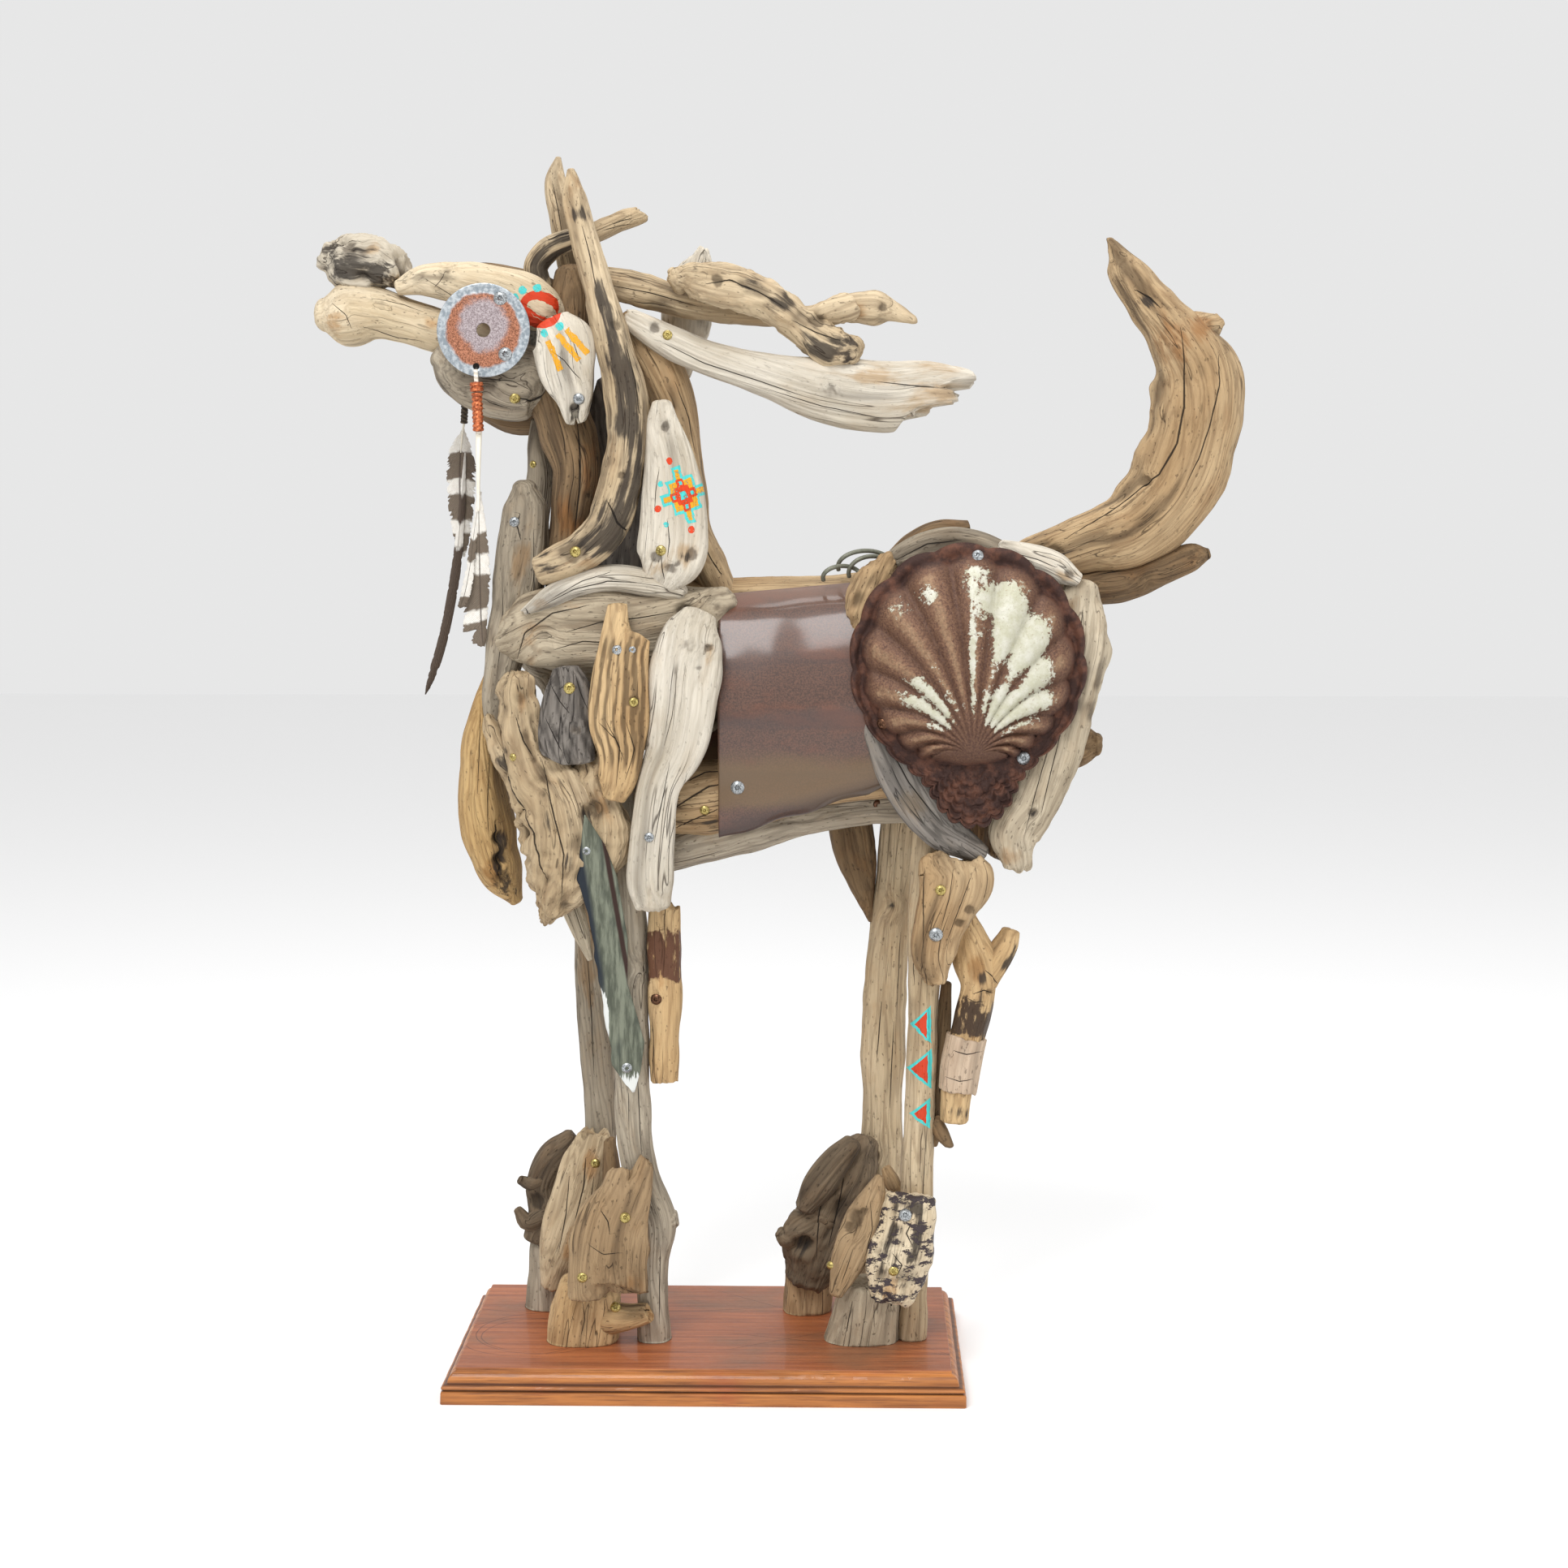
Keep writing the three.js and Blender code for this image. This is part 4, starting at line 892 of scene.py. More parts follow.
driftwood("neck_front_branch", "brown", {
    "stations": [[-146, -18, 950, 60, 60], [-133, -20, 908, 55, 62], [-122, -22, 869, 46, 60],
        [-125, -25, 835, 42, 58], [-130, -25, 800, 40, 56], [-133, -25, 750, 40, 54]],
    "spacing": 2.7, "relief": (2, 0, 0.8, 0.4), "warm": [[-107, 865, 11, 42], [-131, 826, 9, 30],
        [-118, 812, 10, 12]], "knots": [[-108, 842, 5]], "holes": [[-99, 842, 3, 3], [-102, 826, 3, 3]],
    "cracks": [[2.2, -119, 912, -116, 879, -117, 845, -122, 806],
        [1.8, -98, 912, -93, 879, -97, 850, -100, 815], [1, -140, 925, -132, 895, -130, 870]]})
driftwood("neck_back_branch", "tan", {
    "stations": [[-76, -15, 1006, 26, 40], [-50, -15, 970, 40, 58], [-34, -12, 930, 42, 62],
        [-25, -12, 890, 38, 60], [-16, -14, 847, 33, 58], [-9, -14, 808, 30, 56], [0, -12, 778, 38, 56],
        [12, -12, 748, 38, 52]], "relief": (3, 0, 1, 0.4), "cracks": [[1.4, -2, 800, 6, 782, 16, 766],
        [0.9, -30, 950, -16, 915, -10, 880]]})
driftwood("far_neck_plank", "slate", {
    "stations": [[-78, 22, 952, 60, 22], [-76, 26, 900, 92, 26], [-72, 28, 840, 100, 28],
        [-74, 30, 780, 108, 28], [-80, 32, 735, 84, 24]], "power": 3.4, "spacing": 4.9})

print("shoulder and chest")
driftwood("shoulder_crest", "white", {
    "stations": [[-165, -80, 735, 9, 14], [-141, -80, 749, 20, 24], [-115, -78, 761, 23, 30],
        [-85, -75, 766, 24, 34], [-51, -72, 761, 24, 34], [-23, -70, 753, 17, 26]],
    "spacing": 2.6, "relief": (1.5, 0, 1.2, 0.5), "jagged": (4, 2), "warm": [[-150, 742, 14, 8]],
    "cracks": [[1.2, -150, 740, -120, 756, -88, 764, -56, 762], [0.9, -140, 748, -112, 764, -84, 772],
        [1.4, -166, 740, -160, 728]]})
driftwood("striped_plank", "honey", {
    "stations": [[-69, -104, 722, 46, 14], [-73, -107, 700, 48, 22], [-77, -108, 668, 54, 22],
        [-78, -108, 638, 56, 22], [-76, -106, 606, 46, 20], [-79, -104, 580, 35, 18],
        [-83, -102, 564, 22, 12]],
    "power": 3.2, "spacing": 1.7, "ends": (0.3, 0.6), "startEdge": [[-1, -10], [-0.6, -5], [-0.1, -3],
        [0.1, 3], [0.2, 2], [0.35, 14], [0.6, 20], [1, 17]], "relief": (1, 0, 0.5, 0.4),
    "flutes": {"count": 6.5, "tilt": 0, "wave": 0.3, "span": (588, 716), "depth": 2.2, "dark": 1.5},
    "sway": 0.4, "holes": [[-63, 655, 4, 2]], "cracks": [[1, -96, 636, -80, 620, -72, 600],
        [1, -70, 636, -62, 610, -72, 580], [0.9, -90, 640, -76, 612, -80, 575]]})
driftwood("white_shoulder_plank", "white", {
    "stations": [[-4, -94, 733, 34, 16], [-10, -98, 716, 54, 24], [-16, -100, 680, 68, 28],
        [-20, -100, 642, 62, 30], [-27, -99, 608, 54, 30], [-41, -98, 574, 42, 28], [-48, -95, 524, 44, 28],
        [-50, -92, 484, 43, 26], [-48, -90, 463, 31, 18]], "power": 2.8, "spacing": 2.4, "ends": (0.8, 0.7),
    "relief": (2.2, 0, 0.55, 0.35), "knots": [[-12, 706, 9], [6, 703, 6]], "warm": [[7, 700, 7, 13]],
    "holes": [[5, 704, 3, 4], [-4, 686, 2, 2]], "black": [[-10, 556, 4, 6]], "jagged": (0, 3), "sway": 0.4,
    "cracks": [[0.9, -30, 600, -38, 560, -46, 520], [0.9, -14, 590, -22, 550, -34, 512],
        [0.7, -24, 670, -28, 640, -36, 612]]})
driftwood("grey_plank", "slate", {
    "stations": [[-127, -96, 683, 26, 10], [-125, -98, 664, 43, 16], [-127, -98, 636, 50, 18],
        [-127, -97, 612, 51, 16], [-125, -96, 600, 47, 12]],
    "power": 3.0, "spacing": 2, "sway": 0.4, "ends": (0.7, 0.25), "endEdge": [[-1, 5], [0.3, 3], [0.7, -4],
        [1, -9]], "relief": (1.6, 0, 0.8, 0.4), "knots": [[-117, 628, 9], [-136, 672, 7]],
    "flutes": {"count": 4.5, "tilt": 60, "wave": 0.5, "span": (585, 690), "depth": 1.4, "dark": 0.7},
    "warm": [[-117, 628, 8, 7], [-123, 666, 9, 8]], "cracks": [[1.1, -142, 672, -132, 654, -122, 642],
        [1.1, -146, 640, -136, 618, -130, 606], [1, -118, 680, -112, 660, -106, 646]]})
driftwood("chest_root", "pale", {
    "stations": [[-174, -68, 667, 32, 28], [-171, -72, 648, 37, 36], [-166, -75, 620, 40, 42],
        [-152, -76, 586, 62, 46], [-134, -76, 549, 86, 48], [-131, -75, 510, 82, 50],
        [-141, -73, 471, 52, 42], [-150, -72, 446, 16, 20]],
    "limbs": [[[-203, -60, 633, 8, 14], [-194, -66, 612, 18, 24], [-178, -72, 586, 27, 32],
        [-158, -76, 560, 38, 36]], [[-110, -76, 600, 14, 18], [-103, -78, 579, 33, 34],
        [-93, -78, 549, 38, 38], [-91, -76, 518, 30, 32], [-102, -74, 490, 14, 20]]], "spacing": 2.4,
    "ends": (0.9, 0.8), "jagged": (0, 6), "relief": (5, 3, 5, 0.6), "knots": [[-148, 566, 12],
        [-112, 588, 9]], "black": [[-186, 596, 8, 20], [-108, 540, 10, 14], [-146, 540, 6, 22],
        [-124, 500, 7, 24]], "warm": [[-170, 655, 12, 14], [-96, 556, 14, 22]], "holes": [[-104, 552, 8, 6],
        [-128, 604, 6, 5]], "cracks": [[2, -188, 606, -176, 570, -158, 530, -148, 480],
        [1.6, -150, 600, -142, 560, -130, 510, -134, 462], [1.4, -176, 640, -168, 616, -158, 600]]})
driftwood("shoulder_plate", "ash", {
    "stations": [[-187, -40, 706, 34, 40], [-158, -52, 716, 70, 52], [-113, -62, 719, 84, 54],
        [-60, -62, 719, 80, 52], [-14, -58, 728, 60, 48], [18, -50, 743, 26, 34]], "power": 2.8,
    "spacing": 2.7, "ends": (0.9, 0.9), "relief": (3.4, 0, 1.8, 0.6), "knots": [[-150, 712, 15],
        [10, 742, 9]], "holes": [[-17, 736, 9, 9], [-62, 692, 7, 8]], "warm": [[-160, 706, 20, 24],
        [-120, 740, 20, 9]], "cracks": [[1.6, -176, 690, -166, 716, -140, 734, -104, 742],
        [1.3, -130, 716, -96, 726, -60, 730, -24, 736], [1.1, -140, 700, -112, 708, -84, 706]]})
driftwood("chest_slab", "yellow", {
    "stations": [[-210, -5, 670, 10, 30], [-215, -5, 634, 28, 74], [-217, -5, 595, 43, 98],
        [-216, -5, 555, 47, 104], [-210, -5, 516, 48, 98], [-200, -5, 481, 40, 84],
        [-186, -5, 454, 12, 34]], "spacing": 3.2, "relief": (2, 0, 0.3, 0.3), "black": [[-196, 500, 8, 22],
        [-190, 470, 12, 14]], "warm": [[-206, 480, 20, 26]], "holes": [[-197, 520, 5, 5], [-196, 500, 6, 6],
        [-194, 482, 6, 5]], "cracks": [[3.5, -199, 536, -194, 508, -196, 480],
        [0.9, -214, 640, -214, 600, -216, 560], [0.9, -204, 600, -206, 560, -206, 520]]})
driftwood("far_shoulder_plate", "grey", {
    "stations": [[-187, 34, 706, 44, 40], [-155, 50, 700, 100, 46], [-100, 60, 680, 150, 48],
        [-50, 62, 670, 150, 46], [0, 54, 690, 110, 40], [24, 44, 720, 50, 28]],
    "power": 3.0, "spacing": 4.1, "relief": (4, 0, 2, 0.5)})

print("hip and tail")
driftwood("near_thigh_wedge", "tan", {
    "stations": [[231, -84, 502, 60, 20], [235, -85, 488, 70, 26], [228, -85, 464, 57, 26],
        [219, -84, 440, 49, 26], [214, -82, 414, 42, 24], [217, -79, 392, 24, 16]],
    "power": 3.2, "spacing": 2.3, "sway": 0.4, "ends": (0.6, 0.7), "relief": (1.8, 0, 1.1, 0.5),
    "jagged": (3, 3), "startEdge": [[-1, -8], [-0.5, -6], [0, 0], [0.3, 6], [0.8, 11], [1, 8]],
    "holes": [[246, 460, 4, 3], [238, 447, 4, 4]], "cracks": [[1.1, 206, 500, 204, 460, 204, 420],
        [0.9, 250, 496, 238, 462, 226, 430], [0.9, 232, 500, 228, 470, 220, 440]]})
driftwood("hip_plank_front", "slate", {
    "stations": [[152, -78, 668, 22, 20], [160, -80, 640, 34, 26], [175, -80, 603, 42, 28],
        [196, -80, 565, 46, 28], [222, -80, 533, 42, 26], [258, -78, 508, 20, 16]],
    "power": 2.8, "spacing": 2.7, "relief": (1.6, 0, 1.2, 0.5), "warm": [[190, 560, 20, 20]],
    "cracks": [[1.4, 166, 622, 190, 578, 220, 540], [1, 176, 630, 200, 590, 226, 556]]})
driftwood("hip_plank_rear", "ash", {
    "stations": [[350, -70, 757, 28, 20], [346, -76, 716, 58, 28], [339, -77, 678, 60, 28],
        [330, -77, 640, 58, 28], [321, -77, 602, 54, 28], [306, -77, 561, 50, 28], [288, -77, 528, 48, 28],
        [291, -74, 500, 28, 20]],
    "power": 2.6, "spacing": 2.7, "ends": (0.7, 0.6), "relief": (2.6, 0.8, 1.3, 0.5),
    "knots": [[305, 551, 7]], "jagged": (0, 4), "pressed": [[249, 690, 400, -91]],
    "warm": [[338, 742, 14, 12], [286, 508, 14, 12]], "black": [[306, 548, 5, 5], [345, 722, 6, 10]],
    "holes": [[305, 551, 4, 3]], "cracks": [[1.3, 350, 740, 346, 700, 340, 660],
        [1, 322, 620, 308, 570, 298, 530], [1, 334, 640, 322, 590, 312, 545]]})
driftwood("hip_crest", "grey", {
    "stations": [[164, -60, 777, 12, 22], [194, -62, 790, 26, 36], [228, -62, 797, 30, 40],
        [260, -62, 794, 28, 38], [290, -62, 780, 24, 34], [318, -62, 764, 16, 24]],
    "spacing": 2.7, "relief": (1.8, 0, 1, 0.5), "cracks": [[1.3, 176, 782, 206, 798, 240, 802]]})
driftwood("hip_top_stick", "brown", {
    "stations": [[176, -29, 786, 11, 18], [195, -29, 799, 18, 28], [218, -29, 809, 20, 30],
        [246, -29, 814, 11, 18]], "ends": (0.7, 0.3)})
driftwood("hip_white_stick", "white", {
    "stations": [[276, -82, 794, 12, 14], [300, -82, 786, 22, 22], [324, -82, 776, 27, 24],
        [345, -80, 765, 18, 20]], "spacing": 2.4, "holes": [[338, 770, 5, 5]], "warm": [[334, 768, 12, 9]],
    "relief": (2.4, 0, 1.1, 0.5), "cracks": [[1, 286, 790, 308, 784, 326, 776]]})
driftwood("hip_block", "tan", {
    "stations": [[167, -66, 780, 18, 22], [158, -70, 760, 38, 28], [149, -72, 739, 35, 28],
        [143, -72, 718, 17, 20]],
    "spacing": 2.4, "power": 2.8, "jagged": (5, 5), "relief": (2.5, 2.4, 2, 0.5)})
driftwood("tail_branch", "tan", {
    "stations": [[379, -5, 1076, 10, 14], [394, -5, 1052, 33, 40], [415, -5, 1023, 44, 54],
        [440, -5, 993, 58, 62], [459, -5, 960, 77, 66], [462, -5, 925, 87, 68], [453, -5, 882, 86, 68],
        [434, -5, 842, 82, 66], [402, -5, 812, 76, 62], [358, -5, 797, 64, 58], [318, -5, 784, 48, 50],
        [276, -5, 770, 30, 40]],
    "limbs": [[[452, -5, 995, 40, 44], [470, -5, 1000, 34, 36], [482, -5, 1007, 18, 20]]], "spacing": 3.2,
    "ends": (0.9, 0.6), "relief": (3.4, 0, 1, 0.45), "power": 2.2, "startEdge": [[-1, 3], [0, 2], [1, -6]],
    "knots": [[413, 856, 7], [470, 1004, 9]], "holes": [[413, 856, 4, 3], [318, 786, 14, 8]],
    "black": [[322, 790, 22, 9], [410, 1022, 12, 7]], "warm": [[440, 990, 26, 26], [466, 1004, 14, 12]],
    "cracks": [[2, 442, 1000, 446, 965, 446, 925, 440, 891, 424, 862, 380, 829, 335, 802],
        [1.5, 477, 975, 479, 947, 470, 906, 460, 876, 448, 852], [2, 398, 1034, 414, 1026, 424, 1016]]})
driftwood("tail_stub", "brown", {
    "stations": [[325, -5, 752, 34, 38], [376, -5, 757, 37, 42], [407, -5, 763, 36, 40],
        [438, -5, 775, 31, 36], [460, -5, 784, 26, 30], [474, -5, 787, 11, 14]],
    "spacing": 3.2, "relief": (2.6, 0, 1.2, 0.5), "ends": (0.6, 0.5), "knots": [[418, 762, 10]],
    "cracks": [[1.2, 360, 768, 392, 774, 424, 784]]})
driftwood("far_hip_board", "brown", {
    "stations": [[262, 58, 782, 110, 24], [264, 64, 730, 186, 32], [266, 67, 660, 206, 34],
        [270, 67, 600, 186, 34], [268, 64, 545, 120, 32], [264, 60, 505, 50, 22]],
    "limbs": [[[330, 62, 597, 60, 34], [362, 60, 599, 42, 36], [377, 58, 600, 22, 24]]], "power": 3.4,
    "spacing": 4.6, "relief": (4, 0, 2, 0.5)})
driftwood("rump_log", "brown", {
    "stations": [[318, -6, 762, 46, 96], [322, -6, 700, 56, 124], [318, -6, 630, 60, 126],
        [298, -6, 560, 56, 110], [278, -6, 505, 30, 74]], "spacing": 4.9, "relief": (3, 0, 1.5, 0.5)})

print("barrel logs")
driftwood("back_log", "tan", {
    "stations": [[-60, -5, 738, 42, 72], [21, -5, 741, 44, 66], [99, -5, 746, 42, 66],
        [176, -5, 748, 46, 74], [246, -5, 750, 52, 90], [296, -5, 748, 46, 90]],
    "spacing": 3.9, "relief": (2.6, 0, 1.1, 0.5)})
driftwood("upper_belly_log", "tan", {
    "stations": [[-54, -45, 556, 58, 58], [-8, -46, 557, 70, 62], [23, -46, 561, 66, 60],
        [100, -46, 578, 60, 58], [182, -48, 588, 52, 54]], "spacing": 3.2, "relief": (2.6, 0, 1.8, 0.5),
    "black": [[-26, 560, 8, 9], [8, 535, 12, 6]], "cracks": [[2, -34, 548, -16, 560, 4, 572, 18, 574],
        [1.6, -30, 532, -8, 542, 14, 552], [1.2, -20, 575, 2, 584, 20, 584]]})
driftwood("belly_log", "grey", {
    "stations": [[-105, -4, 498, 38, 60], [-83, -4, 502, 42, 76], [-33, -4, 511, 53, 88],
        [22, -2, 526, 54, 92], [99, 0, 543, 50, 92], [161, 0, 552, 50, 90], [215, 0, 552, 42, 80]],
    "spacing": 3.7, "relief": (2, 0, 0.9, 0.5), "cracks": [[1, -60, 490, -20, 498, 20, 508]]})

print("legs")
driftwood("front_leg_splint", "honey", {
    "stations": [[-39, -60, 455, 29, 20], [-40, -59, 422, 32, 26], [-39, -57, 367, 33, 26],
        [-40, -55, 313, 30, 24], [-40, -55, 288, 28, 20]],
    "power": 2.8, "spacing": 2.4, "ends": (0.5, 0.25), "jagged": (4, 1.5), "relief": (1.4, 0, 0.6, 0.3),
    "knots": [[-47, 369, 7]], "warm": [[-44, 400, 20, 28]], "cracks": [[1, -52, 350, -50, 320, -52, 290],
        [1.2, -44, 440, -40, 420, -42, 402]]}, barkBand(0.388, 0.434, (96, 62, 42)))
driftwood("heel_fork", "honey", {
    "stations": [[243, -70, 446, 26, 22], [249, -64, 424, 34, 28], [255, -60, 402, 42, 30],
        [257, -57, 380, 31, 32], [252, -55, 352, 34, 34], [246, -54, 325, 35, 34], [240, -54, 297, 35, 34],
        [237, -54, 268, 32, 30], [236, -54, 252, 28, 27]], "limbs": [[[262, -58, 390, 34, 28],
        [274, -60, 407, 27, 26], [283, -60, 423, 24, 24], [287, -60, 434, 18, 18]]], "spacing": 2.3,
    "ends": (0.8, 0.25), "relief": (2.2, 0, 1.2, 0.5), "black": [[292, 416, 9, 16], [286, 404, 12, 8],
        [246, 345, 20, 12], [262, 354, 7, 26], [240, 262, 16, 9], [262, 392, 6, 7]],
    "warm": [[256, 400, 12, 20], [256, 340, 8, 16]], "holes": [[266, 378, 3, 2]],
    "cracks": [[1.2, 262, 400, 270, 392, 276, 384], [1.2, 252, 376, 262, 380, 270, 376],
        [1, 246, 372, 254, 368, 262, 370]]}, barkBand(0.336, 0.366, (70, 52, 36)))
driftwood("near_hind_leg", "pale", {
    "stations": [[225, -54, 640, 36, 34], [214, -54, 546, 35, 34], [209, -53, 469, 33, 34],
        [206, -48, 374, 31, 33], [202, -42, 234, 29, 33], [200, -38, 135, 29, 33],
        [197, nearHindLegY, footZ, 28, 33]], "stands": True, "spacing": 2.8, "ends": (0.6, 0.2),
    "relief": (1.3, 0, 0.4, 0.3), "black": [[222, 226, 7, 10]],
    "cracks": [[1, 209, 230, 206, 170, 200, 110], [0.8, 198, 420, 196, 400, 197, 380]]}, paintTriangles)
driftwood("far_hind_leg", "pale", {
    "stations": [[197, 48, 640, 38, 38], [184, 50, 503, 39, 39], [171, 54, 357, 42, 40],
        [169, 56, 213, 42, 40], [167, 57, 128, 41, 40], [166, farLegY, footZ, 40, 40]],
    "stands": True, "spacing": 3.2, "ends": (0.6, 0.2), "relief": (1.6, 0, 0.5, 0.3),
    "knots": [[176, 444, 12], [163, 194, 10]], "black": [[176, 444, 3, 3], [163, 194, 3, 3]],
    "cracks": [[1.2, 168, 350, 165, 320, 163, 290], [1.2, 180, 330, 178, 290, 176, 240],
        [0.9, 186, 420, 184, 380, 182, 330]]})
driftwood("far_thigh_wedge", "brown", {
    "stations": [[134, 48, 540, 42, 42], [140, 49, 503, 42, 44], [148, 50, 466, 30, 38],
        [157, 50, 427, 8, 18]], "power": 3.0, "spacing": 3.2, "relief": (1.4, 0, 1.4, 0.5)})
driftwood("near_front_leg", "grey", {
    "stations": [[-84, -56, 640, 34, 36], [-79, -54, 546, 34, 36], [-74, -48, 429, 34, 36],
        [-72, -46, 310, 34, 36], [-70, nearFrontLegY, 226, 34, 36], [-62, nearFrontLegY, 186, 34, 36],
        [-50, nearFrontLegY, 148, 36, 38], [-54, nearFrontLegY, 105, 30, 34],
        [-52, nearFrontLegY, footZ, 34, 36]],
    "limbs": [[[-50, nearFrontLegY, 148, 26, 28], [-36, nearFrontLegY, 150, 23, 26],
        [-30, nearFrontLegY, 151, 14, 16]]], "stands": True, "spacing": 2.8, "ends": (0.6, 0.2),
    "relief": (1.5, 0, 0.5, 0.35), "knots": [[-66, 398, 11]], "cracks": [[1, -66, 300, -64, 250, -62, 215],
        [0.9, -44, 130, -46, 90, -46, 50], [0.8, -74, 280, -74, 240]]})
driftwood("leg_splinter", "ash", {
    "stations": [[-138, -50, 480, 20, 14], [-128, -50, 454, 22, 14], [-118, -50, 424, 15, 12],
        [-111, -50, 404, 7, 8]], "spacing": 2.4, "relief": (1.2, 0, 1.1, 0.5)})
driftwood("far_front_leg", "grey", {
    "stations": [[-125, 50, 640, 33, 34], [-120, 52, 436, 33, 34], [-116, 54, 346, 33, 33],
        [-112, 56, 220, 32, 32], [-110, 57, 124, 32, 32], [-109, farLegY, footZ, 32, 32]],
    "stands": True, "spacing": 3.4, "ends": (0.6, 0.2), "warm": [[-122, 400, 9, 80], [-126, 420, 12, 60]],
    "cracks": [[1.2, -122, 400, -118, 330, -116, 270]]})
driftwood("hind_leg_splint", "brown", {
    "stations": [[228, -34, 378, 12, 12], [226, -34, 340, 15, 15], [223, -34, 300, 16, 15],
        [219, -34, 240, 14, 14], [217, -34, 222, 8, 8]], "spacing": 3.2, "relief": (1.4, 0, 1, 0.5)})
driftwood("heel_spike", "brown", {
    "stations": [[219, -46, 246, 12, 12], [224, -48, 236, 14, 14], [230, -48, 226, 8, 8]],
    "spacing": 2.2, "jagged": (3, 3), "relief": (2.2, 0, 1.2, 0.5)})

driftwood("heel_bark_wrap", "bark", {
    "stations": [[247, -54, 331, 39, 38], [242, -54, 306, 39, 38], [239, -54, 281, 37, 36]],
    "spacing": 2.2, "ends": (0.15, 0.15), "jagged": (2, 2), "sway": 0.3, "relief": (0.8, 0, 0.3, 0.4),
    "cracks": [[1.2, 232, 322, 246, 318, 262, 320], [1, 226, 296, 240, 292, 254, 294]]})

print("hooves")
driftwood("near_front_hoof", "honey", {
    "stations": [[-113, -54, 84, 56, 46], [-118, -50, 58, 67, 54], [-122, -48, footZ, 66, 57]],
    "stands": True, "spacing": 2.6, "ends": (0.5, 0.2), "limbs": [[[-114, -56, 60, 36, 30],
        [-97, -60, 57, 34, 30], [-74, -66, 60, 25, 24], [-55, -72, 66, 19, 18]]],
    "relief": (1.4, 0, 0.4, 0.35), "jagged": (0, 2), "warm": [[-52, 66, 6, 12]],
    "cracks": [[0.9, -118, 80, -116, 60, -120, 44], [1, -60, 72, -54, 68, -50, 66]]})
driftwood("near_front_hoof_plate", "hoof", {
    "stations": [[-72, -68, 200, 40, 14], [-77, -74, 180, 52, 20], [-87, -82, 152, 73, 22],
        [-91, -88, 122, 82, 22], [-91, -92, 98, 82, 16]],
    "power": 3.0, "spacing": 2.2, "ends": (0.35, 0.35), "startEdge": [[-1, 12], [-0.8, 18], [-0.6, 8],
        [-0.3, -5], [0.1, -7], [0.35, 1], [0.7, 0], [1, -6]], "edgeFade": 22, "endEdge": [[-1, 6],
        [-0.6, 2], [-0.1, -5], [0.4, -4], [0.75, 8], [0.9, 12], [1, 8]], "relief": (2.4, 0, 0.9, 0.45),
    "jagged": (5, 1), "warm": [[-70, 100, 26, 10]], "cracks": [[1.2, -100, 172, -92, 160, -90, 148],
        [0.9, -112, 140, -96, 130, -78, 132], [0.9, -84, 100, -70, 92, -60, 90]]})
driftwood("far_front_hoof_plank", "pale", {
    "stations": [[-114, 24, 214, 36, 20], [-122, 24, 184, 48, 28], [-134, 24, 140, 54, 30],
        [-147, 25, 98, 46, 28], [-156, 26, 64, 26, 20]],
    "power": 2.8, "spacing": 2.7, "ends": (0.5, 0.6), "jagged": (6, 3), "relief": (2, 0, 2.2, 0.6),
    "warm": [[-118, 190, 10, 20], [-140, 110, 16, 20]], "cracks": [[1.6, -122, 198, -124, 170, -134, 130],
        [1.2, -138, 180, -142, 140, -150, 100], [1.2, -114, 180, -118, 150, -128, 120]]})
driftwood("far_front_hoof_hook", "umber", {
    "stations": [[-140, 52, 205, 21, 22], [-158, 52, 187, 32, 28], [-172, 50, 159, 31, 28],
        [-168, 48, 131, 32, 28], [-176, 48, 106, 27, 24]], "limbs": [[[-166, 48, 168, 16, 18],
        [-180, 44, 162, 14, 16], [-190, 42, 166, 8, 8]], [[-168, 46, 130, 18, 20], [-184, 42, 124, 16, 16],
        [-193, 40, 136, 8, 8]]], "relief": (3, 0, 1.4, 0.5), "holes": [[-176, 146, 8, 6]]})
driftwood("far_front_hoof", "grey", {
    "stations": [[-158, 62, 94, 48, 44], [-161, 64, 60, 53, 50], [-164, 65, footZ, 52, 52]],
    "stands": True, "spacing": 3.4, "ends": (0.5, 0.2)})
driftwood("front_hoof_spike", "brown", {
    "stations": [[-99, 8, 214, 10, 12], [-97, 6, 185, 17, 18], [-98, 4, 159, 13, 16]],
    "spacing": 2.4, "jagged": (5, 0), "relief": (1, 0, 1.6, 0.5)})
driftwood("hind_hoof_knob", "tan", {
    "stations": [[172, -26, 196, 10, 12], [178, -28, 183, 16, 18], [184, -28, 172, 10, 12]],
    "spacing": 2.7})
driftwood("near_hind_hoof", "ash", {
    "stations": [[156, -40, 84, 56, 50], [152, -38, 55, 67, 58], [148, -37, footZ, 71, 60]],
    "stands": True, "spacing": 2.7, "ends": (0.25, 0.15), "relief": (1.5, 0, 0.5, 0.35),
    "cracks": [[0.9, 140, 78, 136, 58, 134, 44], [0.7, 160, 76, 160, 50]]})
driftwood("far_hind_hoof_root", "umber", {
    "stations": [[150, 36, 204, 26, 34], [140, 32, 176, 44, 48], [121, 30, 142, 62, 52],
        [105, 30, 104, 66, 50], [96, 34, 72, 42, 40]], "spacing": 2.7, "ends": (0.7, 0.6),
    "limbs": [[[108, 20, 138, 30, 30], [88, 20, 126, 26, 26], [74, 20, 116, 16, 18], [68, 20, 120, 8, 9]]],
    "relief": (4, 2.2, 3, 0.6), "holes": [[92, 112, 10, 9], [118, 168, 6, 6]], "black": [[94, 108, 12, 12]],
    "cracks": [[1.6, 132, 186, 126, 150, 116, 110], [1.4, 112, 170, 106, 140, 104, 96]]})
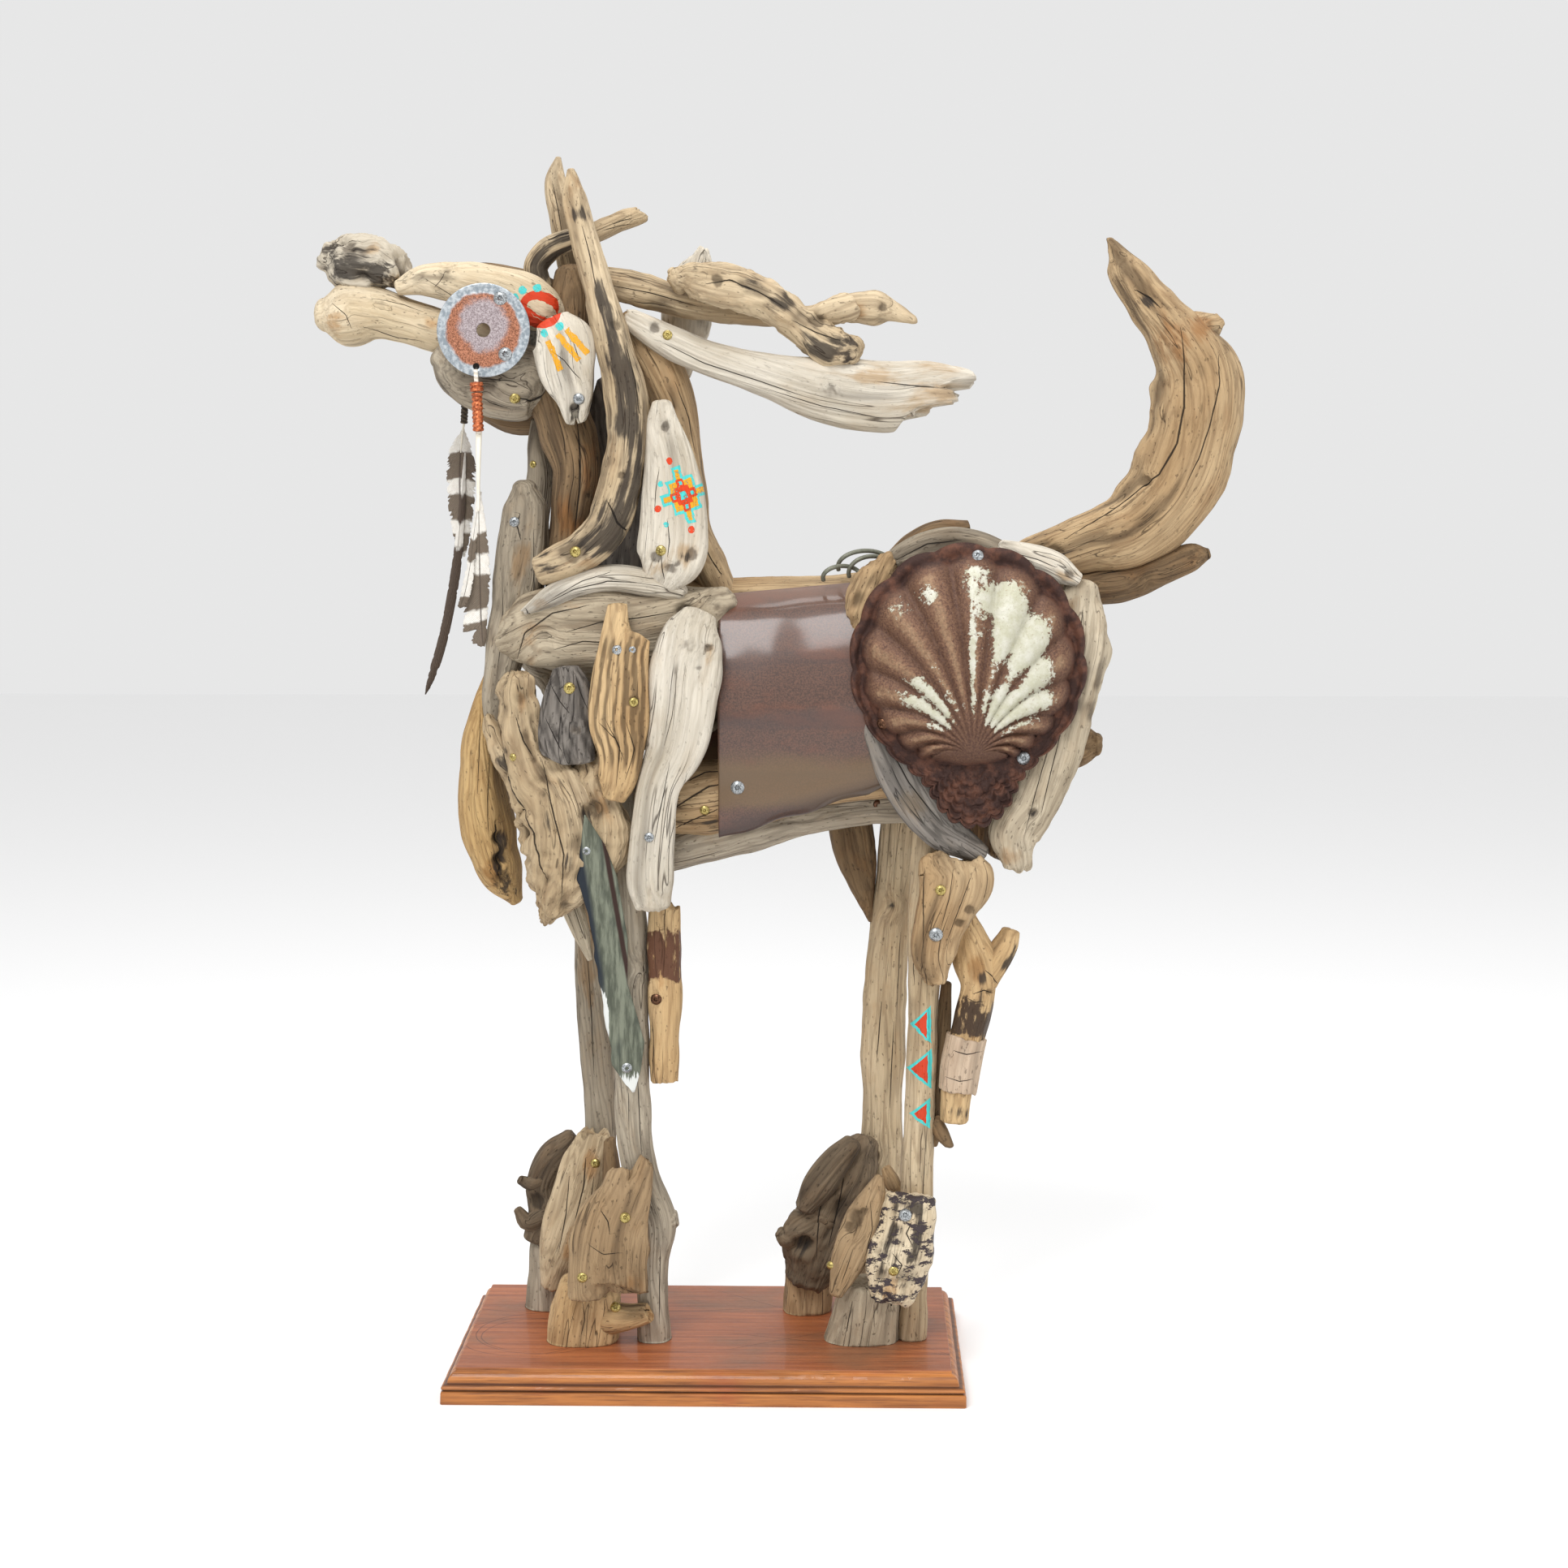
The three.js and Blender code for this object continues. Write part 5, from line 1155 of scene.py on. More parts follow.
driftwood("far_hind_hoof_stick", "umber", {
    "stations": [[138, 12, 211, 18, 18], [123, 10, 194, 29, 26], [105, 8, 170, 32, 26],
        [93, 8, 150, 20, 20]], "spacing": 3.4, "relief": (2, 0, 1.2, 0.5)})
driftwood("far_hind_hoof", "tan", {
    "stations": [[98, 57, 85, 50, 48], [96, 57, 54, 51, 52], [94, 58, footZ, 51, 54]], "stands": True,
    "spacing": 3.4, "ends": (0.3, 0.2), "black": [[74, 52, 5, 24]], "relief": (1.4, 0, 1, 0.5)})
driftwood("hind_hoof_pointed_plate", "hoof", {
    "stations": [[164, -58, 195, 9, 12], [157, -62, 173, 28, 18], [145, -66, 143, 39, 20],
        [133, -70, 112, 32, 18], [124, -74, 87, 15, 14]],
    "power": 2.6, "spacing": 2.2, "ends": (0.9, 0.8), "relief": (1.4, 0, 1, 0.5), "knots": [[142, 150, 12]],
    "holes": [[143, 160, 6, 7], [137, 152, 4, 5], [150, 166, 3, 4]], "black": [[141, 156, 5, 6]],
    "cracks": [[0.9, 156, 176, 158, 150, 150, 120], [0.9, 140, 132, 134, 112, 128, 96]]})
driftwood("birch_bark_chunk", "cream", {
    "stations": [[194, -66, 178, 50, 28], [190, -68, 152, 58, 34], [183, -70, 121, 62, 34],
        [177, -74, 96, 54, 30], [176, -78, 84, 44, 22]], "power": 2.6, "spacing": 2.2, "ends": (0.3, 0.6),
    "jagged": (2, 4), "relief": (2.6, 1.2, 0.8, 0.4), "black": [[196, 172, 16, 7], [180, 150, 14, 9],
        [202, 140, 9, 12], [170, 134, 9, 12], [190, 124, 14, 7], [206, 160, 6, 12], [168, 112, 8, 10],
        [186, 98, 10, 6], [180, 112, 6, 5]], "warm": [[178, 104, 16, 12], [168, 90, 12, 10]],
    "cracks": [[1.4, 196, 160, 190, 148, 196, 136], [1.2, 176, 130, 186, 118, 180, 104]]}, paintBark)


print("plinth")
plinth = {
    "length": 490, "width": 300, "corner": 1.6, "spacing": 4.5,
    "profile": [[0.6, 0], [0, 0.8], [0, 10.4], [0.5, 11.6], [2.6, 12.6], [2.4, 13.4], [1.0, 14.2],
                [0.8, 15.6], [1.6, 17.0], [3.6, 17.9], [5.8, 18.4], [6.2, 19.6], [6.6, 22.0],
                [7.6, 24.4], [9.4, 26.6], [11.4, 27.9], [12.7, 28.4], [13.0, 29.0], [13.0, 31.2],
                [13.3, 31.8], [14.2, 32]],
}


# A moulding: rings of a rounded rectangle, one for each [inset, height] of the profile, closed over the
# flat underside and the flat top by rings drawn in to the middle
def plinthBoard():
    inward = np.linspace(0, 1, 14)[1:-1]
    halfWidth = plinth["width"] / 2
    profile = np.array(plinth["profile"], float)
    bottom = np.stack([profile[0, 0] + inward[::-1] * (halfWidth - 2), np.zeros(len(inward))], 1)
    top = np.stack([profile[-1, 0] + inward * (halfWidth - 16), np.full(len(inward), profile[-1, 1])], 1)
    profile = np.vstack([bottom, profile, top])
    cornerPoints = 5
    arc = np.linspace(0, pi / 2, cornerPoints)
    ring = []
    for quarter, (signX, signY) in enumerate(((1, 1), (-1, 1), (-1, -1), (1, -1))):
        turn = arc + quarter * pi / 2
        ring.append(np.stack([0 * arc + signX, 0 * arc + signY, np.cos(turn), np.sin(turn)], 1))
    ring = np.vstack(ring)
    halfX = plinth["length"] / 2 - profile[:, :1]
    halfY = halfWidth - profile[:, :1]
    corner = np.minimum(plinth["corner"], halfY)
    x = (halfX - corner) * ring[:, 0] + corner * ring[:, 2]
    y = (halfY - corner) * ring[:, 1] + corner * ring[:, 3]
    # Each straight run between two corners is cut into short steps
    steps = round(plinth["length"] / plinth["spacing"])
    runs = []
    for axis in (x, y):
        columns = []
        for number, (here, ahead) in enumerate(zip(axis.T, np.roll(axis, -1, axis=1).T)):
            count = steps if number % cornerPoints == cornerPoints - 1 else 1
            share = np.arange(count) / count
            columns.append(here[:, None] * (1 - share) + ahead[:, None] * share)
        runs.append(np.hstack(columns))
    z = np.broadcast_to(profile[:, 1:], runs[0].shape)
    points = np.stack([*runs, z], -1)
    dent = layeredNoise(points, (0.05, 0.05, 0.12), 5, 3)
    edge = (points[..., 2] > 1) & (points[..., 2] < 31.9)
    points[..., :2] *= 1 - (edge * np.maximum(dent, 0) * 0.0022)[..., None]
    return withPoles(points) * mm, tubeFaces(*points.shape[:2])


# Stained board: grain along its length, dark pores, painted shade in the grooves of the moulding, dust and
# scratches
def plinthFinish():
    finish = Finish("plinth_stain")
    place = finish.place()
    x, y, z = finish.parts(place)
    grain = finish.noise(place, (5, 120, 120), 5.0, 0.6)
    fine = finish.noise(place, (22, 620, 620), 4.0, 0.6)
    cloudy = finish.noise(place, (9, 12, 12), 3.0)
    dust = finish.noise(place, 160.0, 5.0, 0.65)
    wander = (finish.noise(place, 26.0, 2.0) - 0.5) * 0.012
    top = z.rise(0.0312, 0.0316)
    colour = finish.blend(grain.rise(0.3, 0.7), (140, 76, 42), (176, 102, 58))
    colour = finish.blend(cloudy.rise(0.5, 0.72) * 0.7, colour, (122, 86, 60))
    edge = finish.blend(grain.rise(0.35, 0.65), (138, 80, 32), (192, 122, 58))
    edge = finish.blend(cloudy.rise(0.5, 0.7) * 0.6, edge, (160, 78, 40))
    colour = finish.blend(top, edge, colour)
    colour = finish.blend((1 - fine.rise(0.3, 0.48)) * 0.5, colour, (66, 28, 14))
    # Dark lines in the grooves of the moulding, on the sides only: painted shade
    groove = (z - 0.0132).size().rise(0.0006, 0.0016) * (z - 0.0183).size().rise(0.0004, 0.0012)
    colour = finish.blend((1 - groove) * 0.75 * (1 - top), colour, (52, 24, 12))
    # Scratches: two rings struck at the left and a few long straight ones
    scratch = finish.number(0)
    for ringX, ringY, radius in ((-0.168, -0.035, 0.052), (-0.160, -0.028, 0.066), (-0.180, -0.040, 0.060)):
        dx = x - ringX
        dy = y - ringY
        away = (dx * dx + dy * dy).root() - radius + wander * 0.4
        scratch = scratch.most(1 - away.size().rise(0.0002, 0.0008))
    for slope, offset in ((0.62, -0.09), (-0.3, -0.02), (0.18, 0.05), (-0.9, 0.12), (0.05, -0.12)):
        away = y - x * slope - offset + wander * 0.3
        scratch = scratch.most((1 - away.size().rise(0.0002, 0.0008)) * cloudy.rise(0.45, 0.6))
    colour = finish.coat(
        colour, (scratch * top * 0.6, (78, 40, 24)), (dust.rise(0.66, 0.74) * 0.6, (112, 84, 62)))
    rough = 0.36 + dust * 0.22 + fine * 0.1
    height = fine * 0.5 + grain * 0.4 - scratch * 0.8
    return finish.surface({
        "Base Color": colour, "Roughness": rough, "Coat Weight": 0.15,
        "Normal": finish.bump(height, 0.0005, 0.7)})


points, faces = plinthBoard()
makePiece("plinth_board", points, faces, plinthFinish(), ["plinth"], smooth=False)

print("metal")
# Faces of a grid that is closed both ways, such as a ring
def ringFaces(rows, columns):
    row, column = np.meshgrid(np.arange(rows), np.arange(columns), indexing="ij")
    nextRow = (row + 1) % rows
    nextColumn = (column + 1) % columns
    corners = [row * columns + column, row * columns + nextColumn,
               nextRow * columns + nextColumn, nextRow * columns + column]
    return np.stack([corner.ravel() for corner in corners], 1).tolist()


disc = {"radius": 43, "hole": 6.5, "thickness": 3, "thongHole": (-7, -33), "thongHoleRadius": 3}


# Flat ring: its section, a thin rectangle with rounded outer corners, is turned about the middle.
# facing is -1 towards the near side and 1 towards the far side.
def eyeDisc(name, centre, facing):
    out = np.linspace(disc["hole"], disc["radius"] - 0.7, 34)
    back = out[::-3]
    half = disc["thickness"] / 2
    radii = np.concatenate([out, disc["radius"] - np.array([0.2, 0, 0, 0.3]), back])
    depth = np.concatenate([np.full(len(out), half), [half - 0.15, half - 0.7, 0.5 - half, 0.1 - half],
                            np.full(len(back), -half)])
    angle = np.linspace(0, 2 * pi, 120, endpoint=False)
    x = radii[:, None] * np.cos(angle)
    z = radii[:, None] * np.sin(angle)
    y = np.broadcast_to(depth[:, None], x.shape)
    wave = layeredNoise(np.stack([x, z, 0 * x], -1) + 7, (0.03, 0.03, 1), 3, 2)
    holeX, holeZ = disc["thongHole"]
    pit = np.exp(-(np.hypot(x - holeX, z - holeZ) / disc["thongHoleRadius"]) ** 6)
    y = y + wave * 0.35 - np.where(y > 0, pit * 2, 0)
    points = np.stack([centre[0] + x, centre[1] + facing * y, centre[2] + z], -1).reshape(-1, 3) * mm
    faces = ringFaces(*x.shape)
    if facing > 0:
        faces = [face[::-1] for face in faces]
    node = name.replace("_washer", "")
    return makePiece(name, points, faces, discFinish(name, centre), [node])


# Zinc rim, a band of rust inside it, a lavender grey middle and painted shade in the thong hole
def discFinish(name, centre):
    finish = Finish(name + "_zinc")
    place = finish.place()
    x, _, z = finish.parts(place)
    dx = x * 1000 - centre[0]
    dz = z * 1000 - centre[2]
    grit = finish.noise(place, 900.0, 4.0, 0.7)
    blotch = finish.noise(place, 90.0, 4.0, 0.6)
    away = (dx * dx + dz * dz).root() + (blotch - 0.5) * 7
    spangle = finish.noise(place, 330.0, 3.0)
    colour = finish.blend(spangle.rise(0.36, 0.66), (140, 149, 156), (190, 196, 200))
    rust = away.rise(35.5, 32.5)
    rustColour = finish.blend(grit.rise(0.38, 0.62), (112, 66, 44), (190, 128, 98))
    colour = finish.blend(rust, colour, rustColour)
    lift = (dx * dx * 0.9 + (dz - 5) * (dz - 5) * 0.7).root()
    middle = (lift + (blotch - 0.5) * 14 + (grit - 0.5) * 6).rise(24.0, 17.0)
    middleColour = finish.blend(grit.rise(0.38, 0.62), (128, 114, 116), (184, 172, 174))
    colour = finish.blend(middle, colour, middleColour)
    # Nearly black in the thong hole: painted shade
    hx = dx - disc["thongHole"][0]
    hz = dz - disc["thongHole"][1]
    colour = finish.blend((hx * hx + hz * hz) < 9.5, colour, (18, 15, 13))
    return finish.surface({
        "Base Color": colour, "Metallic": 0.65 - rust * 0.6, "Roughness": 0.42 + rust * 0.4,
        "Normal": finish.bump(grit * rust + spangle * 0.2, 0.0008)})


eyeDisc("eye_disc_washer", (-203, -72.5, 994), -1)
eyeDisc("far_eye_disc_washer", (-210, 62.5, 994), 1)

barrel = {
    "profile": [[38, 750], [70, 728], [89, 690], [93, 640], [88, 590], [82, 552], [78, 524]],
    "thickness": 1.5, "columns": 56, "rows": 96,
}


# Rippled sheet: the section through the barrel's profile, waved down its height and drawn along the body.
# Its rear edge leans back and its lower edge rises towards the hip and curls in.
def barrelSheet(name, side, frontX):
    along, down = np.meshgrid(np.linspace(0, 1, barrel["columns"]), np.linspace(1, 0, barrel["rows"]))
    section = smoothLine(barrel["profile"], down[:, 0], 0)
    bulge = section[:, :1] + 1.8 * np.sin(down * 16)
    x = frontX + (146 + 30 * down - frontX) * along
    rise = along * (12 + 38 * down ** 2)
    curl = np.clip((down - 0.93) / 0.07, 0, 1) ** 2
    dent = layeredNoise(np.stack([x, 3 * down * 60, 0 * x], -1), (0.02, 0.03, 1), 8, 2)
    bulge = bulge + dent * 1.2 - curl * (2 + 7 * along)
    z = section[:, 1:] + rise - 3 * curl * np.sin(along * 9) ** 2
    front = np.stack([x, side * bulge, z], -1)
    behind = np.stack([x, side * (bulge - barrel["thickness"]), z], -1)
    if side > 0:
        front, behind = front[:, ::-1], behind[:, ::-1]
    points, faces = slab(front, behind)
    return makePiece(name + "_sheet", points * mm, faces, sheetFinish(), [name])


# Brown weathered sheet metal: rust speckle, drifting dark bands, an olive tint low down, painted shade
# along the lower edge and painted light over the top
def sheetFinish():
    if "brown_sheet_metal" in bpy.data.materials:
        return bpy.data.materials["brown_sheet_metal"]
    finish = Finish("brown_sheet_metal")
    place = finish.place()
    x, _, z = finish.parts(place)
    grit = finish.noise(place, 620.0, 4.0, 0.7)
    cloud = finish.noise(place, (14, 14, 34), 4.0, 0.6)
    band = finish.noise(place, (3, 3, 46), 2.0)
    colour = finish.blend(grit.rise(0.36, 0.64), (66, 46, 38), (98, 68, 54))
    drift = z + (cloud - 0.5) * 0.03
    olive = drift.rise(0.610, 0.588) * drift.rise(0.545, 0.56)
    # Darker along the curled lower edge: painted shade
    low = (z - x * 0.26).rise(0.545, 0.522)
    colour = finish.coat(
        colour, (cloud.rise(0.5, 0.7) * 0.6, (112, 66, 46)), (band.rise(0.55, 0.7) * 0.5, (58, 44, 42)),
        (olive * 0.7, (104, 82, 52)), (low * 0.75, (52, 36, 32)),
        # Lighter over the top, which faces up: painted light
        (z.rise(0.735, 0.76) * 0.5, (138, 104, 84)))
    return finish.surface({
        "Base Color": colour, "Metallic": 0.1, "Roughness": 0.42 + grit * 0.2, "Coat Weight": 0.5,
        "Coat Roughness": 0.14, "Normal": finish.bump(grit * 0.6 + cloud, 0.0004, 0.7)})


barrelSheet("body_panel", -1, 13)
barrelSheet("far_body_panel", 1, -20)

shell = {
    "hinge": (249, 602), "centre": (244, 690), "radius": 108, "tail": 45, "domeRadius": 96,
    "domeHeight": 34, "backY": -94, "thickness": 1.5, "ribs": 15, "scallops": 25, "lip": 5.0,
    "columns": 360, "rows": 72,
    # Patches of enamel left on the rust: middle, half width, half height, amount
    "enamel": [
        [283, 722, 24, 38, 1.3], [268, 750, 16, 18, 1.0], [304, 704, 16, 26, 1.1], [312, 670, 14, 16, 0.6],
        [290, 650, 28, 18, 1.1], [268, 640, 16, 26, 0.7], [204, 654, 28, 14, 0.8], [222, 636, 18, 14, 0.7],
        [196, 672, 24, 10, 0.45], [232, 762, 16, 12, 0.6], [182, 742, 20, 14, 0.5],
        [206, 752, 14, 10, 0.5], [194, 775, 14, 8, 0.5], [246, 690, 3.5, 66, 0.6],
        [210, 700, 44, 26, 0.3], [252, 776, 20, 8, 0.45]],
}


# Distance from the hinge to the rim: a circle met along the ray, drawn out to a tail below
def shellRim(angle):
    toHinge = np.array(shell["hinge"], float) - shell["centre"]
    along = toHinge[0] * np.cos(angle) + toHinge[1] * np.sin(angle)
    circle = np.sqrt(along ** 2 + shell["radius"] ** 2 - toHinge @ toHinge) - along
    tailAngle = radians(-88)
    away = np.arctan2(np.sin(angle - tailAngle), np.cos(angle - tailAngle))
    scallop = np.abs(np.sin(angle * shell["scallops"] / 2)) ** 0.7 * 5 - 3
    return circle + shell["tail"] * np.exp(-(away ** 2) / 1.17) + scallop


# Baking tin like a scallop: the height over the back plane is a dome about the centre, times lobed ribs
# that fan out from the hinge and bow to the sides, with a groove outside the dome and a raised lip
def shellTin():
    angle = np.linspace(0, 2 * pi, shell["columns"], endpoint=False)[None, :]
    share = np.linspace(0.02, 1, shell["rows"])[:, None] ** 0.8
    reach = shellRim(angle) * share
    x = shell["hinge"][0] + reach * np.cos(angle)
    z = shell["hinge"][1] + reach * np.sin(angle)
    fromUp = np.arctan2(np.sin(angle - pi / 2), np.cos(angle - pi / 2))
    fan = fromUp / (radians(50) + radians(66) * share ** 0.8)
    lobe = np.abs(np.sin((fan * shell["ribs"] / 2 + 0.5) * pi)) ** 0.62
    ribbed = np.clip((1.06 - np.abs(fan)) / 0.1, 0, 1) * np.clip(share * 4 - 0.25, 0, 1)
    away = np.hypot(x - shell["centre"][0], z - shell["centre"][1]) / shell["domeRadius"]
    away = away + 0.075 * (0.6 - lobe) * ribbed * np.clip(away * 2 - 0.9, 0, 1)
    inside = np.clip(1 - away ** 2, 0, 1)
    dome = shell["domeHeight"] * inside ** 0.5
    depth = 3.5 + 7.5 * np.clip(share - 0.25, 0, 1)
    rib = depth * (lobe - 1) * ribbed * np.clip(inside * 4, 0, 1)
    lipShare = np.clip((share - 0.925) / 0.035, 0, 1) * np.clip((1.012 - share) / 0.03, 0.25, 1)
    crimp = layeredNoise(np.stack([x, z, 0 * x], -1) + 3, (0.11, 0.11, 1), 17, 3)
    flange = np.clip(1 - inside * 8, 0, 1)
    low = np.clip((shell["hinge"][1] - 6 - z) / 20, 0, 1)
    lobed = np.abs(np.sin(angle * shell["scallops"] / 2)) ** 0.6
    height = np.maximum(dome + rib, 0) + shell["lip"] * lipShare * (0.45 + 0.55 * lobed)
    height = height + flange * (crimp * (1.1 + 1.2 * low) + 1.6 * lobed * (share > 0.86))
    height = height + low * 3 * np.abs(np.sin(share * 22 + crimp)) * (share < 0.93)
    y = shell["backY"] - shell["thickness"] - height
    front = np.stack([x, y, z], -1)
    back = np.stack([x, y + shell["thickness"], z], -1)
    rings = np.concatenate([front, back[::-1]])
    enamel = np.zeros_like(x)
    for patchX, patchZ, wide, high, amount in shell["enamel"]:
        enamel += amount * np.exp(-((x - patchX) / wide) ** 2 - ((z - patchZ) / high) ** 2)
    crest = lobe ** 2 * ribbed * np.clip(inside * 6 - 0.3, 0, 1)
    # dark: the rusted flange, and low down painted shade under the dome
    dark = np.clip(flange + low * (inside < 0.2), 0, 1)
    marks = np.stack([crest, enamel, dark], -1)
    marks = np.concatenate([marks, marks[::-1] * np.array([1, 0, 1])])
    faces = tubeFaces(*rings.shape[:2])
    # Seen from the near side the angle runs the other way round, so every face is turned over
    faces = [face[::-1] for face in faces]
    return makePiece("shell_mould_tin", withPoles(rings) * mm, faces, tinFinish(),
                     ["shell_mould"], {"marks": withPoles(marks)})


# Rust with worn enamel left on the crests of the ribs, a dark pitted flange, and painted shade below the
# dome
def tinFinish():
    finish = Finish("rusty_enamel")
    place = finish.place()
    crest, enamel, dark = finish.parts(finish.attribute("marks"))
    grit = finish.noise(place, 520.0, 5.0, 0.7)
    blotch = finish.noise(place, 75.0, 5.0, 0.65)
    flake = finish.noise(place, 240.0, 4.0, 0.7)
    colour = finish.blend(grit.rise(0.36, 0.64), (84, 56, 44), (140, 104, 78))
    colour = finish.coat(
        colour, (blotch.rise(0.42, 0.65) * 0.6, (112, 80, 58)), ((1 - crest) * 0.6, (70, 44, 34)))
    flange = finish.blend(blotch.rise(0.4, 0.7), (52, 30, 25), (104, 66, 50))
    # Dark flange rust, and painted shade below the dome
    colour = finish.blend(dark * 0.9, colour, flange)
    tanCrest = (crest - 0.55) * 1.6 + (flake - 0.5) * 1.4
    colour = finish.blend(tanCrest.rise(0.3, 0.9) * 0.5 * (1 - dark), colour, (168, 140, 108))
    left = enamel * (0.62 + crest * 0.6) + crest * 0.1 + (blotch - 0.5) * 0.9 + (flake - 0.5) * 1.5
    left = left.rise(0.6, 0.74) * (1 - dark * 0.8)
    cream = finish.blend(blotch.rise(0.35, 0.65), (186, 184, 160), (206, 204, 190))
    cream = finish.coat(
        cream, (grit.rise(0.56, 0.7) * 0.6, (140, 112, 76)), ((1 - crest) * 0.5, (150, 146, 120)))
    colour = finish.blend(left, colour, cream)
    height = grit * 0.7 + flake * 0.5 + blotch * (1 + dark) + left * 0.4
    return finish.surface({
        "Base Color": colour, "Metallic": 0.35 - left * 0.3, "Roughness": 0.5 - left * 0.22 + dark * 0.2,
        "Normal": finish.bump(height, 0.0010, 0.8)})


shellTin()

shard = {
    "faceY": -68, "thickness": 2, "lean": 34,
    "left": [[279, -70], [306, -88], [388, -100], [452, -108], [486, -118], [520, -114], [548, -110.5]],
    "right": [[279, -68], [300, -62], [328, -58], [352, -64], [386, -73], [430, -72], [490, -81],
              [520, -92], [548, -109.5]],
}


# Splinter of mirror metal: each height is filled from a left edge to a right edge, with a slow twist
def mirrorShard():
    left = np.array(shard["left"], float)
    right = np.array(shard["right"], float)
    foot, tip = left[0, 0], left[-1, 0]
    z, across = np.meshgrid(np.linspace(foot, tip, 110), np.linspace(0, 1, 16), indexing="ij")
    jag = 1.4 * latticeNoise(np.stack([z * 0.09, across * 0, across * 0], -1), 4)
    low = np.interp(z, left[:, 0], left[:, 1]) + jag * (z > foot + 6) * (z < tip - 8)
    x = low + (np.interp(z, right[:, 0], right[:, 1]) - low) * across
    risen = (z - foot) / (tip - foot)
    y = shard["faceY"] - risen * shard["lean"] + 1.6 * np.sin(risen * 5.0 + across) * (0.4 + across)
    front = np.stack([x, y, z], -1)
    points, faces = slab(front, front + np.array([0, shard["thickness"], 0]))
    finish = Finish("mirror_metal")
    place = finish.place()
    px, _, pz = finish.parts(place)
    streak = finish.noise(place, (210, 210, 12), 4.0, 0.6)
    cloud = finish.noise(place, (60, 60, 22), 3.0)
    scrape = finish.noise(place, (700, 700, 60), 4.0)
    colour = finish.blend(streak.rise(0.35, 0.65), (78, 82, 70), (122, 126, 110))
    colour = finish.blend(cloud.rise(0.55, 0.7) * 0.5, colour, (62, 68, 62))
    lean = px + 0.1225 - (0.486 - pz) * 0.14
    colour = finish.blend(lean.rise(0.017, 0.011) * pz.rise(0.34, 0.40), colour, (34, 40, 48))
    rib = (px + 0.096 - (0.548 - pz) * 0.155).size().rise(0.0034, 0.0014) * pz.rise(0.37, 0.40)
    colour = finish.blend(rib, colour, (52, 34, 28))
    corner = ((px + 0.098) * (px + 0.098) * 26 + (pz - 0.345) * (pz - 0.345)) * 400
    worn = (scrape * 0.6 + pz.rise(0.315, 0.285) * 0.5 + corner.rise(0.9, 0.3) * 0.5).rise(0.62, 0.72)
    colour = finish.blend(worn, colour, (214, 216, 212))
    material = finish.surface({
        "Base Color": colour, "Metallic": 0.6 - worn * 0.45, "Roughness": 0.26 + cloud * 0.2 + worn * 0.3,
        "Normal": finish.bump(streak + scrape * 0.3, 0.0004, 0.6)})
    return makePiece("mirror_shard_splinter", points * mm, faces, material,
                     ["mirror_shard"])


mirrorShard()

# Loops of old wire that show over the back in front of the hip
wireFinish = Finish("old_wire")
wireGrit = wireFinish.noise(wireFinish.place(), 500.0, 3.0)
wireMaterial = wireFinish.surface({
    "Base Color": wireFinish.blend(wireGrit, (86, 88, 78), (148, 148, 132)),
    "Metallic": 0.5, "Roughness": 0.6})
for number, (x, z, wide, high) in enumerate(((150, 776, 26, 15), (156, 770, 22, 16), (128, 766, 18, 11))):
    turn = np.linspace(radians(-12), radians(192), 15)
    y = -42 - 5 * number + 6 * np.sin(2 * turn)
    loop = np.stack([x + wide * np.cos(turn), y, z + high * np.sin(turn)], 1)
    points, faces, _ = tube(loop * mm, 2.1 * mm, 12, 60)
    makePiece("wire_loop_%d" % (number + 1), points, faces, wireMaterial)

print("feathers")
# Barred feather. vane holds how far out along the barbs a point lies and how far down the feather it is.
def featherFinish(name, look):
    finish = Finish(name)
    place = finish.place()
    out, down, _ = finish.parts(finish.attribute("vane"))
    barb = ((down * look["barbs"] - out.size() * look["lean"]) * 6.283).wave() * 0.5 + 0.5
    mottle = finish.noise(place, 300.0, 3.0)
    bars = finish.number(0)
    slanted = down + out.size() * 0.035 + (mottle - 0.5) * 0.03
    for start, end in look["bars"]:
        begun = slanted.rise(start - 0.012, start + 0.012)
        bars = bars.most(begun * slanted.rise(end + 0.012, end - 0.012))
    colour = finish.blend(mottle, look["light"], look["soft"])
    darkColour = finish.blend(barb * 0.5 + mottle * 0.5, look["dark"], look["darkSoft"])
    colour = finish.blend(bars, colour, darkColour)
    shaft = out.size().rise(0.09, 0.05)
    colour = finish.blend(shaft * 0.8, colour, look["shaft"])
    return finish.surface({
        "Base Color": colour, "Roughness": 0.75, "Normal": finish.bump(barb, 0.0004, 0.7)})


